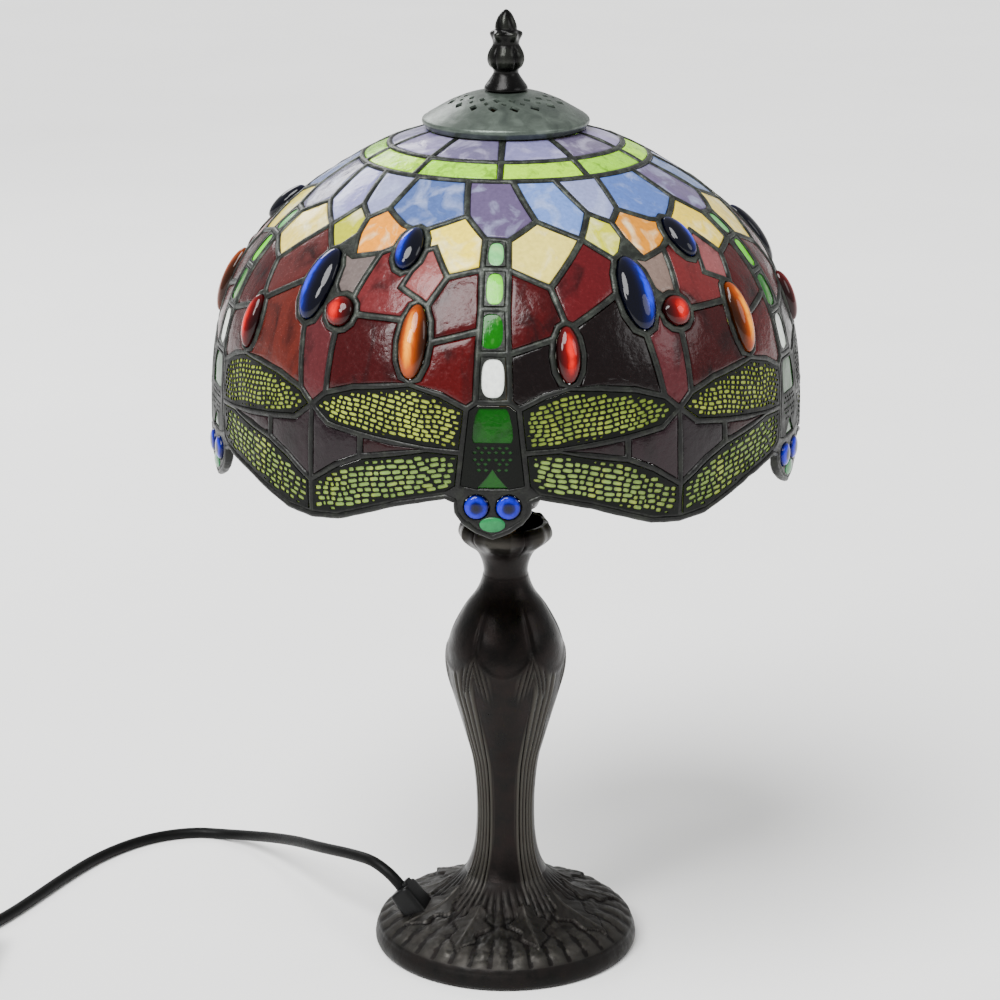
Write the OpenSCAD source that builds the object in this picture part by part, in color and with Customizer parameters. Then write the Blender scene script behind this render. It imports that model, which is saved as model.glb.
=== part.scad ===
// Table lamp with a leaded glass shade: dragonflies with spread wings around a
// round dome, on a cast column with a bud, a ribbed stem and a lily-leaf foot.
// Millimetres, +Z up, origin on the table under the middle of the foot.

/* [Shade] */
// Outer radius of the glass dome
dome_r = 150; // [147:1:152]
// Height of the dome's centre above the table
dome_z = 297; // [295:1:300]
// Extra fullness of the dome's shoulder over a plain ball
shoulder = 5; // [0:0.5:6]
// Thickness of the sheet glass
glass_t = 2.6; // [2:0.2:3]
// Width of the lead between two pieces of glass
came_w = 3; // [2.6:0.2:3.4]
// Height of the glass jewels above the sheet glass
jewel_h = 4; // [2:0.5:6]

/* [Column] */
// Radius of the foot
foot_r = 70.5; // [68:0.5:76]
// Radius of the stem at its waist
waist_r = 15.2; // [14:0.2:17]
// Radius of the bud
bud_r = 31.2; // [28:0.2:33]
// Radius of the leaf cup
cup_r = 24.5; // [23:0.5:27]

/* [Light] */
// Diameter of the light bulb
bulb_d = 60; // [50:1:62]
// Distance between the two legs of the harp
harp_w = 76; // [74:1:80]

/* [Cord] */
// Diameter of the mains cord
cord_d = 6; // [5.6:0.2:6]

/* [Hidden] */
$fn = 48;

// ---- shared measures ----
SECTORS = 5; // dragonflies around the shade
PITCH = 360 / SECTORS; // degrees from one dragonfly to the next
DEGREE = PI / 180;
FIT = 0.06; // play of a running fit, on the radius
SEAT = 0.3; // gap under a part that turns or slides on another
LEAD_PROUD = 0.5; // how far the lead stands over the glass on each side
STEP = 30; // longest straight stretch of lead, mm

rod_r = 4.9;
rod_bore = 3;
felt_t = 2.5;
ballast_top = 14;
stem_z = 40; // joint of foot and stem
bud_z = 104; // joint of stem and bud
cup_z = 207; // joint of bud and cup
cup_top = 236;
saddle_z = 237.4;
arm_rise = 8; // height of the saddle's ends over its middle
socket_z = saddle_z + 2.4;
socket_r = 18.7;
bulb_z = socket_z + 20.4; // tip of the bulb's screw base
bulb_top = bulb_z + 105;
harp_r = 2; // half the thickness of the harp's wire
ferrule_z = saddle_z + arm_rise + 8;
harp_foot = saddle_z + arm_rise + 16; // where the harp's legs end on the saddle's posts
aperture = 14.5; // half angle of the opening at the top of the dome
crown_z = dome_z + dome_r * cos(aperture);
crown_r = dome_r * sin(aperture);
ring_r = crown_r * cos(18); // the opening is a ten-sided polygon
stud_r = 3.1;
seat_z = crown_z - 3; // top of the harp, under the spider wheel
cap_r = 41;
cap_rim = crown_z + 1.5;
cap_top = cap_rim + 17;
finial_z = cap_top + 1.9;

// ---- the leaded pattern ----
// One dragonfly's places, [number, degrees around, degrees down from the top].
// A number plus 1000 is the same place at the next dragonfly, plus 2000 its
// mirror image, plus 3000 the mirror image at the next dragonfly.
PLACES = [
  [1, 0, aperture], [2, 36, aperture], [3, 0, 23], [4, 36, 23], [5, 0, 28.8],
  [6, 36, 28.8], [7, -12, 28.8], [8, 5, 28.8], [9, 21, 28.8], [10, -33, 28.8],
  [11, -9, 38.2], [12, 11, 39.5], [13, 27, 38.2], [14, -34.5, 38], [15, -2.9, 43.6],
  [16, 3.1, 44], [17, 22, 44.3], [18, 32.8, 41], [21, -26.5, 41.5],
  [23, -10.6, 52], [24, -15.2, 46], [26, -20.6, 54.6], [28, -2.8, 61.8],
  [41, 3.1, 74.2], [42, 4.8, 75.4], [43, 5.6, 83.2], [44, 6.3, 89.6], [46, 9.5, 73.2],
  [47, 20, 72.3], [48, 27, 73.2], [49, 33, 75], [51, 32, 80.4], [52, 25, 81.4],
  [53, 12, 82.9], [55, 12, 54], [56, 3, 50.2], [57, 2.7, 57.9], [58, 2.9, 65.8],
  [62, 33.6, 45], [66, 36, 77.5], [71, 36.2, 49.8], [72, 43.3, 48.2], [86, 36, 91.5],
  [87, 36, 97.8], [91, 18, 84.2], [92, 25, 85.5], [93, 30, 87.7], [95, 30, 97.2],
  [96, 24, 95.2], [97, 18, 93.2], [98, 12, 91.8], [800, 0, 95.3], [801, 2.6, 96.9],
  [802, 0, 97.9], [811, 8.6, 91.1], [812, 6.6, 91.9], [813, 6.4, 93.9], [814, 5.1, 95.7],
  [815, 2.9, 97.2], [816, 0, 98.4]
];
// Ovals, [degrees around, degrees down, half width, half height of the glass].
// Their outlines are the places 100 to 111, 200 to 211 and so on, numbered like
// the hours of a clock with 0 at the top.
OVALS = [
  [-21.5, 46.7, 6.6, 12.3], [30.8, 56, 8.5, 19], [-15.7, 64.2, 6.8, 17.9],
  [14.2, 66.2, 5.8, 13.5], [39, 60.5, 7.4, 7.4], [(6 + came_w / 2) / (dome_r * DEGREE), 93.1, 6, 6]
];
function hours(first, last) = [for (i = [first:last]) i];
// Each pane, [kind, outline clockwise seen from outside, middle if it isn't the mean].
PANES = [
  ["lavender", [1, 2, 4, 3]], ["lavender", [2, 1001, 1003, 4]],
  ["lime", [3, 4, 6, 9, 8, 5]], ["lime", [4, 1003, 1005, 1007, 1010, 6]],
  ["lilac", [10, 7, 11, 101, 100, 111, 21, 14]], ["lilac", [7, 5, 8, 12, 16, 15, 11]],
  ["lilac", [8, 9, 13, 17, 12]], ["lilac", [9, 6, 1010, 1014, 18, 13]],
  ["amber", [11, 15, 2056, 23, 24, 103, 102, 101], [-11, 42.5]], ["amber", [12, 17, 55, 56, 16]],
  ["amber", [13, 18, 62, 200, 211, 17]],
  ["amber", [1014, 1021, 1111, 1110, 1109, 72, 71, 62, 18]],
  ["tail", [15, 16, 56, 2056]], ["tail", [2056, 56, 57, 2057]],
  ["tail", [2057, 57, 58, 2058, 28]], ["tail", [2058, 58, 41, 2041]],
  ["red", [24, 23, 301, 300, 26, 105, 104, 103]],
  ["red", [23, 2056, 2057, 28, 303, 302, 301]],
  ["red", [28, 2058, 2041, 2042, 2046, 306, 305, 304, 303], [-7, 71.5]],
  ["red", [56, 55, 400, 411, 410, 58, 57]], ["red", [17, 211, 210, 209, 401, 400, 55]],
  ["red", [58, 410, 409, 408, 407, 406, 46, 42, 41], [6.5, 71.8]],
  ["red", [401, 209, 208, 207, 206, 49, 48, 47, 406, 405, 404, 403, 402], [24, 70.8]],
  ["red", [206, 205, 204, 508, 507, 506, 3049, 66, 49], [34.6, 70.5]],
  ["red", [503, 1310, 1309, 1308, 1307, 1306, 3047, 3048, 3049, 506, 505, 504], [46, 70.5]],
  ["red", [71, 72, 501, 500, 511, 203, 202, 201], [38, 52.5]],
  ["red", [72, 1109, 1108, 1107, 1106, 1105, 1026, 1300, 1311, 1310, 503, 502, 501], [47, 56]],
  ["red", [53, 52, 92, 91]], ["red", [52, 51, 66, 86, 93, 92]],
  ["red", [2091, 2092, 2052, 2053]], ["red", [2092, 2093, 2086, 2066, 2051, 2052]],
  ["wing", [42, 46, 406, 47, 48, 49, 66, 51, 52, 53, 43]],
  ["wing", [2066, 2049, 2048, 2047, 306, 2046, 2042, 2043, 2053, 2052, 2051]],
  ["wing", [43, 53, 91, 92, 93, 86, 87, 95, 96, 97, 98, 811, 44]],
  ["wing", [2086, 2093, 2092, 2091, 2053, 2043, 2044, 2811, 2098, 2097, 2096, 2095, 2087]],
  ["body", [2041, 41, 42, 43, 44, 600, 2600, 2044, 2043, 2042]],
  ["head", [800, 607, 606, 801, 802, 2801, 2606, 2607]],
  ["eye", hours(600, 611)], ["eye", [for (i = [11:-1:0]) 2600 + i]],
  ["blue", hours(100, 111)], ["blue", hours(200, 211)], ["amber_jewel", hours(300, 311)],
  ["red_jewel", hours(400, 411)],
  ["red_jewel", [500, 501, 502, 503, 504, 505, 506, 507, 508, 204, 510, 511]]
];
// Stretches of plain lead around the eyes, each drawn as a fan from its first place.
SOLID = [
  [609, 2610, 610], [2610, 2611, 611, 610], [2611, 2600, 600, 611], [609, 608, 2608],
  [800, 2607, 2608, 608, 607], [203, 511, 510, 204], [62, 71, 201, 200],
  [44, 811, 812, 602, 601, 600], [812, 813, 603, 602], [813, 814, 604, 603],
  [815, 606, 605, 604, 814], [815, 816, 802, 801, 606],
  [2044, 2600, 2601, 2602, 2812, 2811], [2812, 2602, 2603, 2813],
  [2813, 2603, 2604, 2814], [2815, 2814, 2604, 2605, 2606],
  [2815, 2606, 2801, 802, 816]
];
// The scalloped lower edge of one dragonfly, from its left tip to its right tip.
RIM = [
  2087, 2095, 2096, 2097, 2098, 2811, 2812, 2813, 2814, 2815, 816, 815, 814, 813, 812,
  811, 98, 97, 96, 95, 87
];

function oval_place(oval, hour) =
  [
    oval[0] + (oval[2] + came_w / 2) * sin(30 * hour) / (dome_r * sin(min(oval[1], 90)) * DEGREE),
    oval[1] - (oval[3] + came_w / 2) * cos(30 * hour) / (dome_r * DEGREE)
  ];
function own_place(n) =
  n >= 100 && n < 800 ? oval_place(OVALS[floor(n / 100) - 1], n % 100)
  : let (row = PLACES[search(n, PLACES)[0]]) [row[1], row[2]];
function snap(x) = round(x * 10000) / 10000;
function place(n, sector = 0) =
  let (own = own_place(n % 1000), side = n >= 2000 ? -1 : 1, turn = n % 2000 >= 1000 ? 1 : 0)
  [snap(side * own[0] + PITCH * (turn + sector)), snap(own[1])];

// The dome's outside, with a distance out from it, and the skirt below its widest.
function dome(p, out = 0) =
  let (full = p[1] > 30 && p[1] < 90 ? shoulder * pow(sin(3 * (p[1] - 30)), 2) : 0,
       r = dome_r + full + out)
  p[1] <= 90
    ? [r * sin(p[1]) * sin(p[0]), -r * sin(p[1]) * cos(p[0]), dome_z + r * cos(p[1])]
    : [r * sin(p[0]), -r * cos(p[0]), dome_z - (p[1] - 90) * DEGREE * dome_r];

function before(a, b) = a[0] < b[0] || (a[0] == b[0] && a[1] < b[1]);
function cuts(a, b) = max(1, ceil(norm(dome(a) - dome(b)) / STEP));
function between(a, b, t) = [snap(a[0] + (b[0] - a[0]) * t), snap(a[1] + (b[1] - a[1]) * t)];
// Points from a up to, but not including, b: the same ones whichever end comes first.
function stretch(a, b) =
  let (n = cuts(a, b))
  [for (i = [0:n - 1])
    i == 0 ? a : before(a, b) ? between(a, b, i / n) : between(b, a, (n - i) / n)];
function outline(ids, sector) =
  [for (i = [0:len(ids) - 1])
    each stretch(place(ids[i], sector), place(ids[(i + 1) % len(ids)], sector))];

// A flat map of the dome that keeps angles, so that an inset is even all round.
function to_map(p) = [p[0] * DEGREE, p[1] <= 90 ? ln(tan(p[1] / 2)) : (p[1] - 90) * DEGREE];
function from_map(q) = [q[0] / DEGREE, q[1] <= 0 ? 2 * atan(exp(q[1])) : 90 + q[1] / DEGREE];
function inward(a, b) = let (d = b - a) [-d[1], d[0]] / norm(d);
function inset(line, amount) =
  let (m = [for (p = line) to_map(p)], n = len(m))
  [for (i = [0:n - 1])
    let (u = inward(m[(i + n - 1) % n], m[i]), v = inward(m[i], m[(i + 1) % n]),
         local = amount / (dome_r * sin(min(line[i][1], 90))))
    from_map(m[i] + (u + v) * local / max(1 + u * v, 0.55))];
function mean(line) = [for (k = [0, 1]) [for (p = line) p[k]] * [for (p = line) 1] / len(line)];

// A pane cut to an inset outline, between two distances from the dome.
module pane(line, middle, top, bottom, crown = 0) {
  n = len(line);
  points = concat([for (p = line) dome(p, top)], [for (p = line) dome(p, bottom)],
                  [dome(middle, top + crown), dome(middle, bottom)]);
  faces = [for (i = [0:n - 1]) let (j = (i + 1) % n) each
    [[i, j, 2 * n], [n + j, n + i, 2 * n + 1], [j, i, n + i], [j, n + i, n + j]]];
  polyhedron(points, faces);
}

module panes(kind, top, bottom, gap, crown = 0) {
  for (sector = [0:SECTORS - 1], cell = PANES) {
    if (cell[0] == kind) {
      line = inset(outline(cell[1], sector), came_w / 2 + gap);
      middle = cell[2] == undef ? mean(line) : cell[2] + [PITCH * sector, 0];
      pane(line, middle, top, bottom, crown);
    }
  }
}

module sheet(kind) {
  panes(kind, 0, -glass_t, FIT);
}

// Triangles of one pane's frame of lead: both faces and the walls of its opening.
function frame(line, out, in) =
  let (hole = inset(line, came_w / 2), n = len(line))
  [for (i = [0:n - 1])
    let (j = (i + 1) % n, a = dome(line[i], out), b = dome(line[j], out),
         c = dome(hole[j], out), d = dome(hole[i], out), e = dome(line[i], in),
         f = dome(line[j], in), g = dome(hole[j], in), h = dome(hole[i], in))
    each [[a, b, c], [a, c, d], [f, e, h], [f, h, g], [d, c, g], [d, g, h]]];
function fan(line, out, in) =
  [for (i = [1:len(line) - 2]) each
    [[dome(line[0], out), dome(line[i], out), dome(line[i + 1], out)],
     [dome(line[0], in), dome(line[i + 1], in), dome(line[i], in)]]];
// The wall that closes an open edge; the edge runs clockwise around its pane.
function wall(a, b, out, in) =
  [[dome(b, out), dome(a, out), dome(a, in)], [dome(b, out), dome(a, in), dome(b, in)]];
function edge_walls(line, out, in) =
  [for (i = [0:len(line) - 2]) each wall(line[i], line[i + 1], out, in)];
function run(ids, sector) =
  concat([for (i = [0:len(ids) - 2]) each stretch(place(ids[i], sector), place(ids[i + 1], sector))],
         [place(ids[len(ids) - 1], sector)]);
function reversed(list) = [for (i = [len(list) - 1:-1:0]) list[i]];

module lead_came() {
  out = LEAD_PROUD;
  in = -glass_t - LEAD_PROUD;
  triangles = [for (sector = [0:SECTORS - 1]) each concat(
    [for (cell = PANES) each frame(outline(cell[1], sector), out, in)],
    [for (ids = SOLID) each fan([for (n = ids) place(n, sector)], out, in)],
    edge_walls(run([1, 2, 1001], sector), out, in),
    edge_walls(reversed(run(RIM, sector)), out, in))];
  color("dimgray")
    polyhedron([for (t = triangles) each t],
               [for (i = [0:len(triangles) - 1]) [3 * i, 3 * i + 1, 3 * i + 2]]);
}

module glass_lavender() { color("lavender") sheet("lavender"); }
module glass_lime() { color("greenyellow") sheet("lime"); }
module glass_lilac() { color("lightsteelblue") sheet("lilac"); }
module glass_amber() { color("khaki") sheet("amber"); }
module glass_red() { color("maroon") sheet("red"); }
module glass_wing() { color("yellowgreen") sheet("wing"); }
module glass_body() { color("darkgreen") sheet("body"); }
module glass_tail() { color("lightgreen") sheet("tail"); }
module glass_head() { color("mediumseagreen") sheet("head"); }
module blue_jewels() { color("royalblue") panes("blue", 1, -glass_t, FIT, jewel_h); }
module amber_jewels() { color("darkorange") panes("amber_jewel", 1, -glass_t, FIT, jewel_h); }
module red_jewels() { color("firebrick") panes("red_jewel", 1, -glass_t, FIT, jewel_h); }
module eyes() { color("blue") panes("eye", 1, -glass_t, FIT, jewel_h / 2); }
module wing_filigree() { color("black") panes("wing", 0.45, 0.05, 0.1); }
module body_filigree() { color("black") panes("body", 0.45, 0.05, 0.1); }

// A tube swept through a list of points; across is any direction off its path.
function unit(v) = v / norm(v);
module tube(path, r, across = [0, 0, 1], sides = 8) {
  last = len(path) - 1;
  points = [for (i = [0:last])
    let (along = unit(path[min(i + 1, last)] - path[max(i - 1, 0)]),
         side = unit(cross(along, across)), up = cross(side, along))
    for (k = [0:sides - 1]) path[i] + r * (side * cos(360 * k / sides) + up * sin(360 * k / sides))];
  walls = [for (i = [0:last - 1], k = [0:sides - 1])
    let (a = i * sides + k, b = i * sides + (k + 1) % sides)
    each [[a, b, b + sides], [a, b + sides, a + sides]]];
  ends = [[for (k = [sides - 1:-1:0]) k], [for (k = [0:sides - 1]) last * sides + k]];
  polyhedron(points, concat(walls, ends));
}

// A smooth curve through points, in n steps between each pair.
function curve(p, n = 4) =
  concat([for (i = [0:len(p) - 2])
    let (a = p[max(i - 1, 0)], b = p[i], c = p[i + 1], d = p[min(i + 2, len(p) - 1)])
    for (s = [0:n - 1]) let (t = s / n)
      (2 * b + (c - a) * t + (2 * a - 5 * b + 4 * c - d) * t * t
       + (3 * b - a - 3 * c + d) * t * t * t) / 2], [p[len(p) - 1]]);

module rim_wire() {
  r = 1.3;
  sides = 6;
  edge = concat([place(95, -1)], [for (n = RIM) place(n)], [place(2095, 1)]);
  moved = inset(edge, r + 0.25);
  ring = [for (sector = [0:SECTORS - 1], i = [1:len(RIM) - 1])
    dome(moved[i] + [PITCH * sector, 0], -glass_t / 2)];
  n = len(ring);
  points = [for (i = [0:n - 1])
    let (along = unit(ring[(i + 1) % n] - ring[(i + n - 1) % n]),
         side = unit([ring[i][0], ring[i][1], 0]), up = unit(cross(side, along)), flat = cross(along, up))
    for (k = [0:sides - 1]) ring[i] + r * (flat * cos(60 * k) + up * sin(60 * k))];
  walls = [for (i = [0:n - 1], k = [0:sides - 1])
    let (a = i * sides + k, b = i * sides + (k + 1) % sides, c = (i + 1) % n * sides)
    each [[a, c + (k + 1) % sides, b], [a, c + k, c + (k + 1) % sides]]];
  color("dimgray") polyhedron(points, walls);
}

// ---- top of the shade ----
module turned(points) { rotate_extrude() polygon(points); }

module crown_ring() {
  color("darkgoldenrod")
    turned([[ring_r - 4, crown_z - 4], [ring_r - 1.2, crown_z - 4.6], [ring_r - 0.4, crown_z + 1],
            [ring_r - 1.3, crown_z + 1.4], [ring_r - 2, crown_z - 2.8], [ring_r - 4, crown_z - 2.4]]);
}

module spider_wheel() {
  color("darkgoldenrod") difference() {
    union() {
      translate([0, 0, seat_z + SEAT]) cylinder(r = 9, h = 3);
      for (turn = [0:120:240]) rotate(turn)
        translate([0, -3, seat_z + SEAT + 0.5]) cube([ring_r - 2.1, 6, 2]);
    }
    translate([0, 0, seat_z - 1]) cylinder(r = stud_r + FIT, h = 8);
  }
}

cap_curve = [[cap_r, 0], [cap_r + 0.6, 1.8], [cap_r - 0.4, 4], [37.4, 6.2], [34, 8.2], [29, 11],
             [24, 13.2], [18, 15.3], [12, 16.5], [3.6, 17]];
module heat_cap() {
  skin = [for (p = curve(cap_curve, 2)) p + [0, cap_rim]];
  under = [for (p = reversed(skin)) [max(p[0] - 1.3, 3.6), p[1] - 1.3]];
  color("darkseagreen") difference() {
    turned(concat(skin, under));
    for (turn = [0:22.5:337.5]) rotate(turn) translate([27.4, 0, cap_rim + 4]) cylinder(r = 2, h = 12);
  }
}

module seat_washer() {
  color("black") translate([0, 0, cap_top + 0.1]) difference() {
    cylinder(r = 9, h = 1.5);
    translate([0, 0, -1]) cylinder(r = 3.6, h = 4);
  }
}

module finial() {
  skin = concat([[10.2, 0], [10.9, 0.3], [10.8, 1.1], [9.6, 2.2]],
                curve([[8.1, 4], [6.5, 6.8], [7.4, 9.4], [9.4, 13.6], [8.4, 18.4], [6.8, 21.4], [7.4, 25.4],
                       [6.4, 28], [5.5, 31], [3.2, 36], [0, 38.6]], 3));
  color("darkolivegreen") translate([0, 0, finial_z]) difference() {
    turned(concat([[0, 0]], skin));
    translate([0, 0, -1]) cylinder(r = stud_r + FIT, h = 11);
  }
}

// ---- light and harp ----
module harp() {
  half = harp_w / 2;
  spring = seat_z - 5 - half; // where the arch starts
  color("gold") rotate(90) difference() {
    union() {
      for (side = [-1, 1])
        translate([side * half, 0, harp_foot]) cylinder(r = harp_r, h = spring - harp_foot);
      translate([0, 0, spring]) rotate([90, 0, 0])
        rotate_extrude(angle = 180) translate([half, 0]) circle(r = harp_r);
      translate([0, 0, seat_z - 7.5]) cylinder(r = 6, h = 4.5);
    }
    translate([0, 0, seat_z - 9]) cylinder(r = stud_r, h = 8);
  }
}

module harp_stud() {
  color("gold") {
    translate([0, 0, seat_z - 7]) cylinder(r = stud_r, h = finial_z + 9 - seat_z + 7);
    translate([0, 0, seat_z - 3]) cylinder(r = 7.5, h = 3);
  }
}

module ferrule(side) {
  color("gold") translate([0, side * harp_w / 2, ferrule_z]) difference() {
    cylinder(r = 4, h = 14);
    translate([0, 0, -1]) cylinder(r = harp_r + FIT, h = 16);
  }
}
module ferrule_front() { ferrule(-1); }
module ferrule_back() { ferrule(1); }

module harp_saddle() {
  end = harp_w / 2 + 4;
  color("gold") difference() {
    union() {
      translate([-6, 0, saddle_z]) rotate([90, 0, 90]) linear_extrude(12)
        polygon([[-end, arm_rise], [8 - end, arm_rise], [-24, 0], [24, 0], [end - 8, arm_rise],
                 [end, arm_rise], [end, arm_rise + 2.2], [end - 9, arm_rise + 2.2], [23.2, 2.2],
                 [-23.2, 2.2], [9 - end, arm_rise + 2.2], [-end, arm_rise + 2.2]]);
      for (side = [-1, 1]) translate([0, side * harp_w / 2, saddle_z + arm_rise]) {
        cylinder(r = 3.6, h = ferrule_z - saddle_z - arm_rise - SEAT);
        cylinder(r = harp_r, h = harp_foot - saddle_z - arm_rise - 0.1);
      }
    }
    translate([0, 0, saddle_z - 1]) cylinder(r = rod_r, h = 5);
  }
}

module socket_cap() {
  color("darkgoldenrod") translate([0, 0, socket_z])
    turned([[rod_r, 0], [9, 0], [socket_r - 2, 5], [socket_r, 9], [socket_r, 13], [socket_r - 1.2, 13],
            [socket_r - 1.2, 9.4], [socket_r - 3, 6.2], [9, 1.6], [rod_r, 1.6]]);
}

module socket_shell() {
  color("darkgoldenrod") translate([0, 0, socket_z + 13])
    turned([[socket_r - 1.2, 0], [socket_r, 0], [socket_r, 30], [socket_r - 0.6, 31.5],
            [socket_r - 1.2, 31.5]]);
}

module socket_core() {
  color("ivory") translate([0, 0, socket_z + 10]) difference() {
    cylinder(r = socket_r - 1.3, h = 9.3);
    translate([0, 0, -1]) cylinder(r = 2, h = 12);
  }
}

module screw_shell() {
  color("gold") translate([0, 0, socket_z + 19.4])
    turned([[13.1, 0], [14.1, 0], [14.1, 24], [15, 25], [14.3, 25], [13.1, 24]]);
}

module centre_contact() {
  color("gold") translate([0, 0, socket_z + 19.4]) cylinder(r = 3, h = 0.9 - SEAT);
}

module bulb_base() {
  color("silver") translate([0, 0, bulb_z])
    turned([[0, 0], [3, 0], [4, 2], [11, 3], [13, 5], [13, 24], [13.4, 26], [12.4, 26], [12, 5.5], [0, 3]]);
}

module bulb_glass() {
  half = bulb_d / 2;
  ball = bulb_top - half;
  skin = concat(curve([[12.2, bulb_z + 26.1], [14, bulb_z + 30], [18, bulb_z + 42], [half - 4, ball - 16],
                       [half - 0.4, ball - 4], [half, ball]], 3),
                [for (a = [10:10:90]) [half * cos(a), ball + half * sin(a)]]);
  under = [for (p = reversed(skin)) [max(p[0] - 1, 0), min(p[1], bulb_top - 1)]];
  color("white") turned(concat(skin, [for (i = [1:len(under) - 1]) under[i]]));
}

// ---- column ----
module felt_pad() {
  color("darkgreen") difference() {
    cylinder(r = foot_r - 5, h = felt_t);
    translate([0, 0, -1]) cylinder(r = 4, h = 5);
  }
}

module rod_nut() {
  color("silver") difference() {
    translate([0, 0, felt_t + 0.4]) cylinder(r = 9, h = 5, $fn = 6);
    cylinder(r = rod_r, h = 20);
  }
}

module lock_washer() {
  color("silver") difference() {
    translate([0, 0, felt_t + 5.4]) cylinder(r = 9.5, h = 1.6);
    cylinder(r = rod_r + 0.2, h = 20);
  }
}

module ballast() {
  color("gray") difference() {
    translate([0, 0, felt_t]) cylinder(r = 40, h = ballast_top - felt_t);
    translate([0, 0, felt_t - 1]) cylinder(r = 12, h = 8);
    cylinder(r = rod_r + 0.2, h = 20);
  }
}

foot_skin = concat([[foot_r - 1.5, 0.4], [foot_r, 3], [foot_r - 0.6, 7], [foot_r - 3.5, 11.5]],
                   curve([[foot_r - 5.5, 13.5], [60, 17], [50, 20.4], [37.5, 25], [29.5, 31], [24, 36.5],
                          [21.6, stem_z]], 3));
foot_under = [[17, stem_z], [20, 35], [26, 28], [35, 21.5], [50, 16.4], [60, 12.5], [foot_r - 6.5, 9],
              [foot_r - 4.6, 4], [foot_r - 4.6, 0.4]];
module gland_frame() {
  translate([-42, -12, 14]) rotate([0, 0, 165]) rotate([0, 40, 0]) children();
}

module foot_casting() {
  color("saddlebrown") difference() {
    union() {
      turned(concat(foot_skin, foot_under));
      translate([0, 0, stem_z - 4]) difference() {
        cylinder(r = 19, h = 4);
        translate([0, 0, -1]) cylinder(r = rod_r + 0.2, h = 6);
      }
    }
    gland_frame() translate([0, 0, -20]) cylinder(r = 3.4, h = 30);
  }
}

function inner(line, t) = [for (p = reversed(line)) [p[0] - t, p[1]]];
stem_skin = curve([[21.4, stem_z], [18.2, 48], [16.1, 58], [waist_r, 72], [waist_r + 0.4, 88],
                   [17, bud_z]], 3);
module stem_casting() {
  color("saddlebrown") union() {
    turned(concat(stem_skin, inner(stem_skin, 4)));
    translate([0, 0, bud_z - 4]) difference() {
      cylinder(r = 14, h = 4);
      translate([0, 0, -1]) cylinder(r = rod_r + 0.2, h = 6);
    }
  }
}

bud_skin = curve([[17.2, bud_z], [20, 114], [25, 132], [29.5, 148], [bud_r, 162], [28.5, 175], [22, 188],
                  [15, 198], [11.8, cup_z]], 3);
module bud_casting() {
  color("saddlebrown") union() {
    turned(concat(bud_skin, inner(bud_skin, 4)));
    translate([0, 0, cup_z - 5]) difference() {
      cylinder(r = 11, h = 5);
      translate([0, 0, -1]) cylinder(r = rod_r + 0.2, h = 7);
    }
  }
}

module leaf_cup() {
  skin = curve([[11.8, cup_z], [12.4, 214], [16, 221], [cup_r - 1.5, 227], [cup_r, 232],
                [cup_r - 1.6, cup_top]], 3);
  color("saddlebrown") union() {
    turned(concat(skin, inner(skin, 2.5)));
    translate([0, 0, cup_z]) difference() {
      cylinder(r = 10.5, h = 5);
      translate([0, 0, -1]) cylinder(r = rod_r + 0.2, h = 7);
    }
  }
}

module threaded_rod() {
  color("silver") difference() {
    translate([0, 0, felt_t + 0.2]) cylinder(r = rod_r, h = socket_z + 4 - felt_t);
    cylinder(r = rod_bore, h = 300);
    translate([-6, -2.9, 15]) cube([6, 5.8, 13]);
  }
}

wire_route = [[-47.5, -10.5, 20.6], [-44.6, -11.2, 17], [-41, -11, 15.6], [-34, -8.6, 17],
              [-20, -5.6, 19.2], [-9, -2.4, 19], [-3.6, -0.7, 20.6], [-0.6, -0.1, 26], [0, 0, 36],
              [0, 0, 130], [0, 0, socket_z + 9.8]];
module lamp_wire() { color("black") tube(wire_route, 2.2, [0, 1, 0], 6); }

module cup_nut() {
  color("silver") translate([0, 0, cup_z + 5]) difference() {
    cylinder(r = 8, h = 5, $fn = 6);
    translate([0, 0, -1]) cylinder(r = rod_r, h = 7);
  }
}

module spacer() {
  color("darkgoldenrod") translate([0, 0, cup_z + 10]) difference() {
    cylinder(r = 7.5, h = saddle_z - cup_z - 10);
    translate([0, 0, -1]) cylinder(r = rod_r + 0.2, h = 40);
  }
}

// ---- cord ----
cord_r = cord_d / 2;
cord_out = [-55.2, -8.5, 30.2]; // in the gland's mouth
switch_x = -288;
switch_y = -60;
switch_l = 60;
switch_mid = 9;
coil_x = -329;
coil_y = -125;
coil_mid = 35; // radius of the coil's middle turn
plug_x = coil_x - coil_mid - cord_d;
lamp_route = [
  cord_out, [-56.1, -8.2, 31.4], [-58.7, -7.4, 34.2], [-61.4, -6.1, 36.7], [-64.4, -4.5, 38.7],
  [-67.4, -2.5, 40.2], [-70.4, -0.2, 41.2], [-73.4, 2.3, 41.6], [-77, 5.8, 41.4], [-87, 16.2, 39.4],
  [-98, 28.6, 36], [-108, 43.2, 31.6], [-118.7, 62.3, 25.6], [-129.3, 80, 19.4], [-139.8, 95.2, 13.8],
  [-148.4, 105.6, 9.8], [-157, 114.6, 6.4], [-165.5, 120.6, 4.2], [-175, 124.6, 3], [-185, 125.7, 3],
  [-197, 123, 3], [-208, 118, 3], [-218, 110.6, 3], [-228, 100, 3], [-237, 87.5, 3], [-245, 73, 3],
  [-254, 53, 3], [-265, 26, 3], [-271.5, 11, 3], [-278, -2, 3.2], [-283, -11.5, 4.6], [-286.4, -20.5, 6.9],
  [switch_x, switch_y + switch_l / 2 + 0.6, switch_mid]
];
coil_gap = 23.5; // along the cord, from the coil's middle to where the cord meets it
lead_route = [[switch_x, switch_y - switch_l / 2 - 0.6, switch_mid], [switch_x, -96, 8.2],
              [switch_x, coil_y + coil_gap, 7]];
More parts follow.
